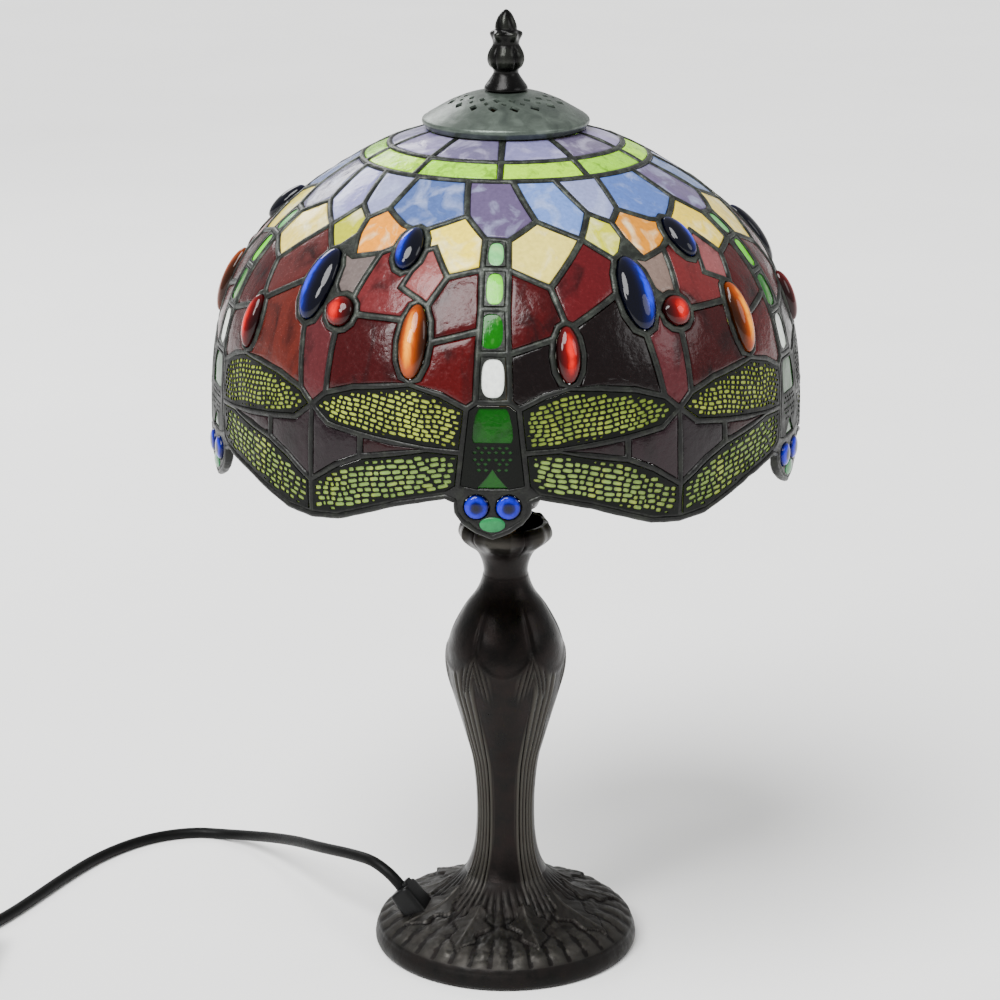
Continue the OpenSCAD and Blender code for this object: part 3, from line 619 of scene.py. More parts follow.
def loops_of(edges):
    """Closed loops of vertices along boundary edges."""
    beside = {}
    for edge in edges:
        for vertex in edge.verts:
            beside.setdefault(vertex, []).append(edge.other_vert(vertex))
    loops, seen = [], set()
    for start in beside:
        if start in seen:
            continue
        loop, vertex = [], start
        while vertex and vertex not in seen:
            seen.add(vertex)
            loop.append(vertex)
            vertex = next((v for v in beside[vertex] if v not in seen), None)
        loops.append(loop)
    return loops


def unwrap(value, near):
    return value + 360 * round((near - value) / 360)


def read_panes(node, above=-1.0):
    """Each piece of glass of a CAD node: its middle and its outline, clockwise from outside."""
    mesh = shell_faces(node, lambda out: out > above)
    panes = []
    for loop in loops_of([e for e in mesh.edges if e.is_boundary]):
        hub = next((e.other_vert(loop[0]) for e in loop[0].link_edges
                    if not e.is_boundary and not e.other_vert(loop[0]).is_boundary), None)
        spots = [undome(v.co / MM) for v in loop]
        if hub:
            middle = undome(hub.co / MM)
        else:
            first, count = spots[0][0], len(spots)
            middle = (sum(unwrap(s[0], first) for s in spots) / count, sum(s[1] for s in spots) / count)
        line = [(unwrap(s[0], middle[0]), s[1]) for s in spots]
        turn = sum(p[0] * q[1] - q[0] * p[1] for p, q in zip(line, line[1:] + line[:1]))
        panes.append((middle[:2], line if turn > 0 else line[::-1]))
    mesh.free()
    return sorted(panes, key=lambda pane: (round(pane[0][0]), round(pane[0][1])))


def resample(line, longest):
    """Adds points to a closed outline so that no stretch is longer than so many mm."""
    result = []
    for a, b in zip(line, line[1:] + line[:1]):
        count = max(1, math.ceil((dome(*a) - dome(*b)).length / longest))
        result += [(a[0] + (b[0] - a[0]) * i / count, a[1] + (b[1] - a[1]) * i / count)
                   for i in range(count)]
    return result


def cut_corners(outline, share):
    """A closed outline whose sides each keep their middle, between a share and 1 - share."""
    return [Vector(p) * k + Vector(q) * (1 - k)
            for p, q in zip(outline, outline[1:] + outline[:1]) for k in (share, 1 - share)]


SHEET_RINGS = [(0.0, -0.5), (0.02, 0.0), (0.06, 0.12), (0.2, 0.2), (0.4, 0.25), (0.62, 0.3), (0.82, 0.3)]
JEWEL_RINGS = [(1 - cos_of(8 * i), sin_of(8 * i)) for i in range(11)]
TONES = {
    "glass_lavender": [(18, 18, "9c98bc"), (-18, 18, "827c98")],
    "glass_lime": [(18, 26, "c0f004"), (-18, 26, "aee402")],
    "glass_lilac": [(-21, 36, "6c84b8"), (0, 37, "7c7294"), (15, 36, "829aca"), (36, 35, "a4a8c8"),
                    (-57, 36, "9c9cc4"), (-72, 37, "807c90")],
    "glass_amber": [(-11, 45, "f4e464"), (9, 48, "ecdc80"), (26, 46, "ccd038"), (43, 44, "eca82c"),
                    (-29, 46, "e89a20")],
    "glass_tail": [(0, 47, "88d090"), (0, 54, "84e038"), (0, 61, "148014"), (0, 69, "f8faf4")],
    "glass_red": [(-15, 50, "a46c6c"), (-6, 55, "5c0812"), (-9, 70, "640410"), (5, 60, "600a14"),
                  (18, 56, "6a2228"), (8, 71, "1c0204"), (24, 69, "200406"), (35, 69, "6c3a3e"),
                  (-30, 70, "500c14"), (-25, 56, "7a3a3c"), (-34, 52, "8a7c76"), (20, 83, "301820"),
                  (-20, 83, "3e121a"), (32, 85, "342028"), (-32, 85, "2e1e26"),
                  (-48, 69, "74382e"), (-37, 70, "6e3a3e"), (-54, 56, "6a3c3c"), (-64, 71, "5c3c3c")],
    "glass_wing": [(22, 78, "a4b45a"), (-22, 78, "b8c664"), (20, 90, "a2b46a"), (-20, 90, "9ab066")],
    "glass_body": [(0, 80, "0c6404")],
    "glass_head": [(0, 96.6, "3c9460")],
}
# Where the painted glow, for light gathering, sits in each long jewel, across from its middle, and how wide.
PAINTED_GLOWS = {"blue_jewels": (0.5, 0.34), "amber_jewels": (0.12, 0.45), "red_jewels": (-0.1, 0.5)}
DEPTH = 1.4  # how much deeper thick glass looks than its nominal colour
HEAD_HALF = (2.3, 1.4)  # half the head's oval, in degrees around and down
HEAD_RISE = 0.7  # mm


def tone_of(node, middle):
    """A pane's own colour: the nearest listed one, a little off in each sector.

    Tones past -36 degrees are for the one sector left of the front.
    """
    tones = TONES.get(node)
    if not tones:
        return [0.5, 0.5, 0.5, 1]
    spot = unwrap(middle[0], 0)
    own = [t for t in tones if t[0] < -36 and -75 < spot < -36]
    shared = [(t[0] + turn, *t[1:]) for t in tones if t[0] >= -36 for turn in range(-216, 217, SECTOR)]
    nearest = min(own + shared, key=lambda t: (spot - t[0]) ** 2 + (middle[1] - t[1]) ** 2)
    luck = drift(middle[0] * 0.37, middle[1] * 0.51, 3.1)
    warm = drift(middle[0] * 0.29, 7.7, middle[1] * 0.43)
    color = linear(nearest[2])
    return [max(color[i] ** DEPTH * (1 + 0.45 * luck + 0.15 * warm * (1 - i)), 0) for i in range(3)] + [1]


def painted_glow_of(node, middle, line, around, down):
    """How much painted glow, for the light that gathers, a place in a jewel gets, 0 to 1."""
    half = max(abs(a - middle[0]) for a, d in line), max(abs(d - middle[1]) for a, d in line)
    x, y = (around - middle[0]) / half[0], (down - middle[1]) / half[1]
    if node == "eyes":
        return bell(math.hypot(x, y) - 0.72, 0.3) * (1 - 0.25 * x)
    shift, width = PAINTED_GLOWS[node]
    shift = math.copysign(shift, sin_of(middle[0]))
    curve = shift * (1 - y * y) ** 0.5 if abs(y) < 1 else 0
    return bell(x - curve, width) * (1 - 0.85 * y * y)


def add_glass(node, jewel=0.0):
    """Rebuilds a node's glass: sheets with eased edges, or jewels with round faces."""
    points, faces, tones, painted_glows = [], [], [], []
    for middle, line in read_panes(node):
        tone = tone_of(node, middle)
        if jewel:
            line = cut_corners(line, 0.75)
            rings = [(0.0, -0.2)] + [(t, 1 + jewel * h) for t, h in JEWEL_RINGS]
        elif node == "glass_head":
            line = [(middle[0] + HEAD_HALF[0] * math.cos(TAU * k / 32),
                     middle[1] - 0.1 + HEAD_HALF[1] * math.sin(TAU * k / 32)) for k in range(32)]
            rings = [(0.0, 0.4)] + [(t, 1 + HEAD_RISE * h) for t, h in JEWEL_RINGS]
        else:
            line = resample(line, 4)
            rings = SHEET_RINGS
        n = len(line)
        base = len(points)
        rings = [(0.0, -GLASS_THICK)] + rings
        for t, out in rings:
            for spot in line:
                around = spot[0] + (middle[0] - spot[0]) * t
                down = spot[1] + (middle[1] - spot[1]) * t
                place = dome(around, down, out)
                if jewel:
                    # painted glow for this point of the jewel
                    painted_glows.append(painted_glow_of(node, middle, line, around, down))
                elif t > 0.05:
                    place = dome(around, down, out + 0.35 * noise.noise(place / 11))
                points.append(place * MM)
        points.append(dome(*middle, rings[-1][1]) * MM)
        points.append(dome(*middle, -GLASS_THICK) * MM)
        if jewel:
            painted_glows += [painted_glow_of(node, middle, line, *middle)] * 2
        tones += [tone] * (len(rings) * n + 2)
        top = len(points) - 2
        for i in range(len(rings) - 1):
            for k in range(n):
                a, b = base + i * n + k, base + i * n + (k + 1) % n
                faces.append((b, a, a + n, b + n))
        last = base + (len(rings) - 1) * n
        faces += [(last + (k + 1) % n, last + k, top) for k in range(n)]
        faces += [(base + k, base + (k + 1) % n, top + 1) for k in range(n)]
    piece = add_piece(node + "_pieces", points, faces, GLASS[node], "shade", (node,))
    if jewel:
        # stores the painted glow that picks the jewel's colour
        paint(piece, "painted_glow", [[painted_glow, painted_glow, painted_glow, 1] for painted_glow in painted_glows])
    else:
        paint(piece, "tone", tones)


def add_came():
    """Rounded, slightly uneven beads of solder over the CAD lattice, outside and in."""
    steps = 4
    points, faces, index = [], [], {}
    rim = []
    for keep, side in ((lambda out: out > 0.2, 1), (lambda out: out < -2.7, -1)):
        mesh = shell_faces("lead_came", keep)
        spots = {v: undome(v.co / MM) for v in mesh.verts}
        if side == 1:
            loops = loops_of([e for e in mesh.edges if e.is_boundary])
            rim = max((loop for loop in loops if sum(spots[v][1] for v in loop) > 88 * len(loop)), key=len)
            rim = [(spots[v][0], spots[v][1]) for v in rim]
        for face in mesh.faces:
            corners = [spots[v] for v in face.verts]
            edge = [1.0 if v.is_boundary else 0.0 for v in face.verts]
            around = [unwrap(c[0], corners[0][0]) for c in corners]
            local = {}
            for i in range(steps + 1):
                for j in range(steps + 1 - i):
                    share = (i / steps, j / steps, 1 - (i + j) / steps)
                    a = sum(s * v for s, v in zip(share, around))
                    d = sum(s * c[1] for s, c in zip(share, corners))
                    low = sum(s * v for s, v in zip(share, edge))
                    place = dome(a, d)
                    swell = 0.95 + 0.3 * noise.noise(place / 7) + 0.15 * noise.noise(place / 2.2)
                    height = swell * math.sqrt(max(1 - low * low, 0)) - 0.05
                    out = height if side == 1 else -GLASS_THICK - height
                    place = dome(a, d, out)
                    key = (side, round(place.x, 3), round(place.y, 3), round(place.z, 3))
                    if key not in index:
                        index[key] = len(points)
                        points.append(place * MM)
                    local[i, j] = index[key]
            for i in range(steps):
                for j in range(steps - i):
                    faces.append((local[i, j], local[i + 1, j], local[i, j + 1]))
                    if i + j < steps - 1:
                        faces.append((local[i + 1, j], local[i + 1, j + 1], local[i, j + 1]))
        mesh.free()
    add_piece("solder_lines", points, faces, LEAD, "shade", ("lead_came",))
    return rim


def add_rim(line):
    """The bead that binds the scalloped lower edge."""
    unrolled = [line[0]]
    for around, down in line[1:]:
        unrolled.append((unwrap(around, unrolled[-1][0]), down))
    way = 1 if unrolled[-1][0] > unrolled[0][0] else -1
    unrolled.append((unrolled[0][0] + 360 * way, unrolled[0][1]))
    spots = [spot for spot in resample(unrolled, 2.5) if abs(spot[0] - unrolled[0][0]) < 360]
    n, sides = len(spots), 12
    points = []
    places = [dome(a, d + 0.3, -1.3) for a, d in spots]
    for i, place in enumerate(places):
        along = (places[(i + 1) % n] - places[i - 1]).normalized()
        out = Vector((place.x, place.y, 0)).normalized()
        down = along.cross(out).normalized()
        radius = 1.9 + 0.25 * noise.noise(place / 6)
        for k in range(sides):
            angle = TAU * k / sides
            spoke = out * math.cos(angle) * 1.15 + down * math.sin(angle) * 0.9
            points.append((place + radius * spoke) * MM)
    add_piece("rim_bead", points, ring_faces(n, sides), LEAD, "shade", ("rim_wire",))


def clearance(point, polygon):
    """How far in mm a point is inside a polygon, or less than zero outside it."""
    nearest, within = math.inf, False
    for a, b in zip(polygon, polygon[1:] + polygon[:1]):
        t = max(0, min(1, (point - a).dot(b - a) / max((b - a).length_squared, 1e-9)))
        nearest = min(nearest, (a + (b - a) * t - point).length)
        if (a.y > point.y) != (b.y > point.y):
            if point.x < (b.x - a.x) * (point.y - a.y) / (b.y - a.y) + a.x:
                within = not within
    return nearest if within else -nearest


def wing_holes(outline, long, high, turn):
    """Dashes of uneven length, in rows that follow a wing, as polygons in mm."""
    ahead = Vector((math.cos(turn), math.sin(turn)))
    across = Vector((-ahead.y, ahead.x))
    holes = []
    for row in range(-int(WING_REACH / high), int(WING_REACH / high) + 1):
        left = -WING_REACH - long * (0.5 + drift(row * 1.9, turn, 0.5))
        while left < WING_REACH:
            wide = long * (0.85 + 0.7 * drift(left * 0.61, row * 0.83, turn))
            sway = high * 0.8 * drift(left * 0.09, row * 0.12, 4.4)
            tilt = 0.16 * drift(left * 0.4, row * 0.9, 8.8)
            half = Vector((wide / 2 - WING_BAR, high / 2 - WING_BAR))
            middle = ahead * (left + wide / 2) + across * (row * high + sway)
            left += wide
            for size in (1, 0.7, 0.45):
                hole = [middle + (ahead * half.x * x + across * (half.y * y + tilt * half.x * x)) * size
                        for x, y in ((-1, -1), (1, -1), (1, 1), (-1, 1))]
                if all(clearance(corner, outline) > WING_EDGE for corner in hole):
                    holes.append(cut_corners(hole, 0.8))
                    break
    return holes


def pierced(rings, extra=(), clockwise=False):
    """Triangulates the first of some flat rings less the others: all its points, and its faces."""
    polygons, start = [], 0
    for ring in rings:
        polygon = list(range(start, start + len(ring)))
        polygons.append(polygon[::-1] if clockwise else polygon)
        start += len(ring)
    flat = [p for ring in rings for p in ring] + list(extra)
    made, _, faces, _, _, origin = geometry.delaunay_2d_cdt(flat, [], polygons, 1, 1e-5)
    kept = []
    for face, source in zip(faces, origin):
        if source == [0]:
            a, b, c = (made[i] for i in face)
            kept.append(tuple(face[::-1] if (b - a).cross(c - a) > 0 else face))
    return made, kept


def side_faces(faces, n):
    """Quads from every free edge of some faces to its copy n points further on."""
    sides = {(i, j): True for face in faces for i, j in zip(face, face[1:] + face[:1])}
    return [(j, i, i + n, j + n) for i, j in sides if (j, i) not in sides]


def add_plates(name, node, longest, pattern, low, high, wear=None):
    """A pierced plate over each pane of a CAD node, from low to high in mm out.

    pattern(middle, outline) gives a pane's holes in mm across and down from its middle. With wear,
    as a least value and a spread, the plates stand for the node; without, they are solder on it.
    """
    points, faces = [], []
    for middle, line in read_panes(node, 0.25 if wear else -1.0):
        line = resample(line, longest)
        outline = [Vector(((a - middle[0]) * PER_DEGREE, (d - middle[1]) * PER_DEGREE)) for a, d in line]
        made, plate = pierced([outline] + pattern(middle, outline))
        plate += side_faces(plate, len(made))
        faces += [tuple(i + len(points) for i in face) for face in plate]
        places = [(p.x / PER_DEGREE + middle[0], p.y / PER_DEGREE + middle[1]) for p in made]
        points += [dome(a, d, out) * MM for out in (high, low) for a, d in places]
    if wear:
        piece = add_piece(name, points, faces, FILIGREE, "shade", (node,), smooth=False)
        paint(piece, "wear", [wear[0] + wear[1] * noise.noise(Vector(p) * 120) for p in points])
    else:
        add_piece(name, points, faces, LEAD, "shade", smooth=False)


def wing_pattern(middle, outline):
    """Small dashes on an upper wing, and longer ones on a lower wing, along its length."""
    side = 1 if wrapped(middle[0], SECTOR) > 0 else -1
    if middle[1] < WINGS_MEET:
        return wing_holes(outline, 4.2, 2.25, -side * math.radians(9))
    return wing_holes(outline, 5.4, 2.6, side * math.radians(12))


def mirrored(half):
    """A closed outline from its right half, given as places across and down."""
    return half + [(-x, down) for x, down in reversed(half) if x]


def body_pattern(middle, outline):
    """A big pane, an arrow and rows of small scales down a dragonfly's body."""
    shapes = [mirrored([(6.6, 75.2), (8.0, 76.4), (9.3, 78.6), (9.6, 80.6), (8.8, 81.3)]),
              mirrored([(0, 86.0), (2.4, 87.4), (6.4, 89.2), (8.0, 89.9), (7.0, 90.5), (0, 90.8)])]
    wide, tall = 1.3, 0.33
    for row, count, shift in ((82.2, 5, 0), (83.0, 6, 0), (84.3, 6, 0), (85.1, 5, 0), (86.2, 4, 1.4)):
        for i in range(count):
            x = (i - (count - 1) / 2) * 3.3
            x += math.copysign(shift, x)
            if row < 84.7 or abs(x) > 1.5:
                shapes.append([(x, row - tall), (x + wide, row), (x, row + tall), (x - wide, row)])
    return [[Vector((x, (down - middle[1]) * PER_DEGREE)) for x, down in shape] for shape in shapes]


def tail_pattern(middle, outline):
    """One hole with round corners, so that a tail's panes look like beads."""
    squeeze = sin_of(middle[1])
    wide = max(abs(p.x) for p in outline) - 0.9 / squeeze
    tall = max(abs(p.y) for p in outline) - 0.7
    turns = [TAU * k / 28 for k in range(28)]
    return [[Vector((math.copysign(abs(math.cos(t)) ** 0.7, math.cos(t)) * wide,
                     math.copysign(abs(math.sin(t)) ** 0.7, math.sin(t)) * tall)) for t in turns]]


for node in GLASS:
    if node.startswith("glass_"):
        add_glass(node)
for kind, rise in (("blue_jewel", 4.0), ("amber_jewel", 4.0), ("red_jewel", 4.0), ("eye_jewel", 2.0)):
    add_glass("eyes" if kind == "eye_jewel" else kind + "s", rise)
add_plates("tail_solder", "glass_tail", 3, tail_pattern, -0.4, 0.7)
add_rim(add_came())
add_plates("wing_mesh", "wing_filigree", 5, wing_pattern, 0.1, 0.75, (0.35, 0.3))
add_plates("body_mesh", "body_filigree", 4, body_pattern, 0.1, 0.8, (0.4, 0.0))

# ---- the column: foot, stem, bud and leaf cup ----
def rib(value, pitch):
    """A row of round ridges with narrow grooves, 0 to 1."""
    return abs(math.sin(math.pi * value / pitch)) ** 0.7


def stem_relief(turn, reach, height):
    """Bundles of ribs between four plain faces; they fan out into the bud and the foot."""
    face = abs(wrapped(turn, 90))
    limit = 21 + 10 * step_up(height, 92, 150) + 4 * (1 - step_up(height, 44, 66))
    share = step_up(face, limit - 3, limit + 3)
    ridge = rib(wrapped(turn, 90) + 45, 7.5)
    push = share * (1.0 * ridge - 0.1) + (1 - share) * 0.2
    return push, 0.15 + 0.75 * share * ridge + 0.1 * (1 - share)


def bud_relief(turn, reach, height):
    """Smooth petals with rolled lips above; short ribs slant in under their corners."""
    side = abs(wrapped(turn, 60)) / 30
    edge = 158 + 12 * side ** 2
    petal = step_up(height, edge - 2.4, edge + 0.8)
    lip = bell(height - edge - 0.8, 1.5)
    near = step_up(height, edge - 20, edge - 10) * step_up(side, 0.25, 0.6)
    lean = wrapped(turn, 60) * (1 + 0.035 * (edge - height))
    ridge = rib(lean + 3.75, 7.5)
    plain, plain_wear = stem_relief(turn, reach, height)
    low_push = plain * (1 - near) + near * (1.0 * ridge - 0.2)
    low_wear = plain_wear * (1 - near) + near * (0.1 + 0.5 * ridge)
    fold = bell(1 - side, 0.1) * step_up(height, 162, 170) * (1 - step_up(height, 180, 196))
    push = low_push * (1 - petal) + petal * (0.2 - 0.7 * fold) + 0.4 * lip
    return push, low_wear * (1 - petal) + petal * 0.05 + 0.3 * lip


def foot_leaf(turn, reach):
    """The pointed, lobed leaves over the ribs: height, wear, and the groove round them, darkened with
    painted shade.
    """
    best, worn, groove_and_painted_shade = 0.0, 0.0, 0.0
    for centre, tip, root, wide in LEAVES:
        u = (reach - root) / (tip - root)
        if not 0 < u < 1.06:
            continue
        lobed = math.sin(math.pi * min(u, 1) ** 0.7) ** 0.9 * (1 + 0.28 * math.cos(u * 17))
        v = math.radians(wrapped(turn - centre, 360)) * reach / max(wide * lobed, 0.3)
        # the groove round each leaf, which also carries painted shade
        groove_and_painted_shade = max(groove_and_painted_shade, bell(abs(v) - 1.12, 0.14) * step_up(u, 0.1, 0.3))
        if abs(v) >= 1 or u >= 1:
            continue
        body = step_up(1 - abs(v), 0, 0.15)
        vein = bell(v, 0.09) + 0.6 * rib(u * 34 - abs(v) * 9, 6) * (1 - abs(v))
        edge = bell(1 - abs(v), 0.16)
        height = body * (1.3 + 0.5 * vein + 0.4 * edge)
        if height > best:
            best, worn = height, 0.42 + 0.25 * edge + 0.3 * vein
    return best, worn, groove_and_painted_shade


# Each leaf on the foot: degrees around, and its tip's and root's reach and half width in mm.
LEAVES = [(-62, 60, 27, 9.5), (-23, 62, 31, 9), (20, 59, 30, 9), (61, 63, 28, 10), (101, 60, 30, 9),
          (139, 63, 28, 10), (181, 59, 31, 9), (220, 62, 29, 9.5), (259, 60, 30, 9)]


def foot_relief(turn, reach, height):
    """Ribs run down the flare; rounded lobes ring the outside; leaves lie between."""
    if height < 11:
        return 0.12 * rib(turn, 10) * (height > 6), 0.1
    plain, plain_wear = stem_relief(turn, reach, height)
    near = 1 - step_up(reach, 21.6, 29)
    face = abs(wrapped(turn, 90))
    fan = (1 - near) * (1 - step_up(reach, 38, 50)) * (0.75 + 0.25 * step_up(face, 10, 28))
    ridge = rib(turn + 2.5 * sin_of(turn * 4 + reach * 6), 7.5)
    ring = step_up(reach, 47, 56) * (1 - step_up(reach, 66.2, 68.2))
    lobe = abs(cos_of(turn * 19 + 12 * sin_of(turn * 3)))
    rough = drift(reach * 0.2, turn * 0.12, 2)
    rough += 0.7 * drift(reach * 0.5, turn * 0.4, 5)
    rough *= 0.5 * step_up(reach, 26, 34) * (1 - step_up(reach, 64, 67))
    leaf, leaf_wear, groove_and_painted_shade = foot_leaf(turn, reach)
    ground = near * plain + fan * (1.1 * ridge - 0.4) + ring * (1.7 * lobe ** 0.5 - 1.3) + rough
    outer = step_up(reach, 32, 48)
    worn = near * plain_wear + (1 - near) * (0.2 + 0.25 * outer) + 0.4 * rough
    worn += 0.3 * fan * ridge + 0.25 * ring * lobe
    # round a leaf the groove is cut in and its wear lowered to dark as painted shade
    return (leaf - 0.3, leaf_wear) if leaf - 0.3 > ground else (ground - 0.5 * groove_and_painted_shade, worn * (1 - groove_and_painted_shade))


def casting(name, node, profile, relief, inner, segments=360, finish=BRONZE):
    """A hollow casting about Z, whose relief stands out along the profile's own normal.

    relief(turn, radius, height) gives the relief in mm and the wear; the inner profile is plain.
    """
    rows = [Vector(spot) for spot in profile]
    points, wear = [], []
    for i, row in enumerate(rows):
        ahead = rows[min(i + 1, len(rows) - 1)] - rows[max(i - 1, 0)]
        normal = Vector((ahead.y, -ahead.x)).normalized()
        for k in range(segments):
            turn = 360 * k / segments
            push, worn = relief(turn, *row)
            points.append(turned(math.radians(turn), row.x + normal.x * push, row.y + normal.y * push))
            wear.append(float(worn))
    for spot in inner:
        points += [turned(TAU * k / segments, *spot) for k in range(segments)]
        wear += [INSIDE_WEAR] * segments
    faces = ring_faces(len(rows) + len(inner), segments)
    piece = add_piece(name, points, faces, finish, "column", (node,))
    sharpen(piece, 50)
    paint(piece, "wear", wear)


def cup_relief(turn, reach, height):
    """A cup of curling leaves."""
    open_part = step_up(height, 218, 231)
    leaf = abs(cos_of(turn * 2.5 + 20))
    rim = 1.9 * leaf ** 0.6 - 1.1 + 0.35 * sin_of(turn * 15)
    vein = 0.3 * bell(wrapped(turn - 8, 72), 2.5)
    return open_part * (rim + vein), 0.2 + 0.55 * open_part * leaf


def rows_of(points, low, high, spacing=0.8):
    """A smooth profile through (radius, height) points, from one height to another, in even steps."""
    line = [spot for spot in catmull(points, 24) if low - 0.001 <= spot[1] <= high + 0.001]
    rows, last = [line[0]], line[0]
    for spot in line[1:]:
        if math.dist(spot, last) >= spacing:
            rows.append(spot)
            last = spot
    rows[-1] = line[-1]
    return rows


STEM_Z = 40  # heights of the joints of foot and stem, stem and bud, and bud and cup
BUD_Z = 104
CUP_Z = 207
CUP_TOP = 235.4
INSIDE_WEAR = 0.1
COLUMN = [(65, 13.5), (60, 17), (50, 20.4), (37.5, 25), (29.5, 31), (24, 36.5), (21.5, STEM_Z), (18.2, 48),
          (16.1, 58), (15.2, 72), (15.6, 88), (17.4, BUD_Z), (20.2, 115), (25, 132), (29.5, 148),
          (31.2, 162), (28.5, 175), (22, 188), (15, 198), (11.8, CUP_Z), (12.4, 214), (15.5, 220.5),
          (20.5, 225), (23.6, 229), (23.2, 233), (21.4, CUP_TOP)]
FOOT_EDGE = [(68.6, 0.4), (69.6, 0.9), (70.3, 2.4), (70.4, 4), (69.9, 6.6), (69.1, 8.6), (68.6, 9.6),
             (68.4, 10.6), (67.6, 11.6), (66.6, 12.5)]
casting("foot_relief", "foot_casting", FOOT_EDGE + rows_of(COLUMN, 0, STEM_Z, 0.7), foot_relief,
        [(17, STEM_Z), (20, 35), (26, 28), (35, 21.5), (50, 16.4), (60, 12.5), (64, 9), (65.9, 4),
         (65.9, 0.4)], 540, FOOT_BRONZE)
casting("stem_relief", "stem_casting", rows_of(COLUMN, STEM_Z, BUD_Z), stem_relief,
        [(13, BUD_Z), (11.5, 72), (17, STEM_Z)])
casting("bud_relief", "bud_casting", rows_of(COLUMN, BUD_Z, CUP_Z), bud_relief,
        [(8, CUP_Z), (25, 162), (13, BUD_Z)])
casting("cup_relief", "leaf_cup", rows_of(COLUMN, CUP_Z, CUP_TOP, 0.6), cup_relief,
        [(19.6, CUP_TOP), (20.6, 231), (10, 215), (9, CUP_Z)])


# ---- cap and finial ----
CAP_RIM = 443.7
CAP_SKIN = [(41.0, 3.8), (39.8, 4.9), (37.4, 6.3), (34, 8.3), (29, 11.1), (24, 13.3), (18, 15.4),
            (12, 16.6), (8, 16.9), (3.6, 17)]
CAP_LINE = catmull(CAP_SKIN, 12)
CAP_THICK = 1.2


def cap_height(radius):
    """The height in mm of the cap's outside at a radius."""
    for (r0, z0), (r1, z1) in zip(CAP_LINE, CAP_LINE[1:]):
        if r1 <= radius <= r0:
            return CAP_RIM + z0 + (z1 - z0) * (r0 - radius) / max(r0 - r1, 1e-6)
    return CAP_RIM + (CAP_LINE[0][1] if radius > CAP_LINE[0][0] else CAP_LINE[-1][1])


def uneven(angle, radius, height):
    """A hammered waviness."""
    return 0.25 * drift(math.sin(angle) * 4, math.cos(angle) * 4, height * 0.2), 0.5


def add_cap():
    """The cap, pierced by three rows of diamond vents."""
    def spot(turn, radius):
        return Vector((radius * sin_of(turn), radius * cos_of(turn)))

    holes = []
    for radius, wide, long, start in ((27.4, 2.7, 2.5, 11.25), (23.4, 1.5, 1.5, 0), (20.0, 2.0, 1.9, 11.25)):
        for k in range(16):
            turn = start + 22.5 * k
            swing = math.degrees(wide / radius)
            lean = 0.3 * swing
            diamond = [spot(turn + lean, radius + long), spot(turn + swing, radius),
                       spot(turn - lean, radius - long), spot(turn - swing, radius)]
            holes.append(cut_corners(diamond, 0.93))
    outer = [spot(k * 2.5, 41.2) for k in range(144)]
    inner = [spot(k * 10, 3.6) for k in range(36)]
    between = []
    radius = 40.6
    while radius > 5:
        count = int(TAU * radius / 1.5)
        for k in range(count):
            place = spot(360 * k / count, radius)
            if not any((place - sum(hole, Vector((0, 0))) / len(hole)).length < 3.0 for hole in holes):
                between.append(place)
        radius -= 1.0 if radius > 36 else 1.6
    made, faces = pierced([outer, inner] + holes, between, clockwise=True)
    points = [(p.x * MM, -p.y * MM, (cap_height(p.length) - deep) * MM)
              for deep in (0, CAP_THICK) for p in made]
    n = len(made)
    faces += [tuple(i + n for i in reversed(face)) for face in faces] + side_faces(faces, n)
    sharpen(add_piece("cap_skin", points, faces, CAP, "shade", ("heat_cap",)), 40)
    lip = [(40.8, 4.0), (41.4, 3.7), (41.9, 3.0), (42.1, 2.0), (41.8, 1.0), (41.1, 0.3), (40.6, -0.2),
           (40.4, -0.9), (40.0, -1.1), (39.6, -0.8), (39.4, 2.6), (39.8, 3.3)]
    lip = [(radius, CAP_RIM + height) for radius, height in lip]
    sharpen(lathe("cap_lip", lip, uneven, CAP, "shade"), 60)


FINIAL_Z = 462.6
FINIAL_SKIN = [(8.9, -0.1), (9.5, -1.0), (10.1, -1.6), (10.8, -1.5), (11.0, -0.8), (10.6, 0.4), (9.5, 2.0),
               (8.1, 4.0), (6.9, 5.8), (6.3, 7.2), (6.6, 8.6), (7.9, 10.4), (8.9, 12.6), (9.1, 14.4),
               (8.7, 16.8), (7.6, 19.2), (6.7, 21.0), (6.7, 22.4), (7.1, 24.4), (7.3, 26.2), (6.6, 27.5),
               (5.6, 28.3), (5.4, 29.8), (4.9, 32), (3.8, 34.6), (2.4, 36.8), (0.9, 38.1), (0.02, 38.4)]


def finial_relief(angle, radius, height):
    """Leaves on the ball, a crown of leaf tips and a furled bud."""
    h = height - FINIAL_Z
    turn = math.degrees(angle)
    ball = step_up(h, 8.5, 11) * (1 - step_up(h, 18.5, 21.5))
    leaf = abs(cos_of(turn * 2.5))
    vein = bell(wrapped(turn, 72), 4)
    crown = step_up(h, 22, 26) * (1 - step_up(h, 27, 28.3))
    tip = abs(cos_of(turn * 2.5 + 90)) ** 2.2
    bud = step_up(h, 28.3, 30) * (1 - step_up(h, 34, 37))
    furl = abs(sin_of(turn * 2.5 + h * 9))
    push = ball * (1.2 * leaf ** 0.6 + 0.3 * vein - 0.9) + crown * (1.9 * tip - 0.7)
    push += bud * (0.5 * furl - 0.25)
    return push, 0.15 + 0.6 * (ball * leaf + crown * tip + bud * furl)


def add_finial():
    rows = [(p[0], FINIAL_Z + p[1]) for p in rows_of(FINIAL_SKIN, -2, 40, 0.35)]
    rows += [(0.02, FINIAL_Z + 9), (3.2, FINIAL_Z + 9), (3.2, FINIAL_Z - 0.1)]
    piece = lathe("finial_leaves", rows, finial_relief, FINIAL, "finial", ("finial",), 180)
    sharpen(piece, 60)


add_cap()
add_finial()


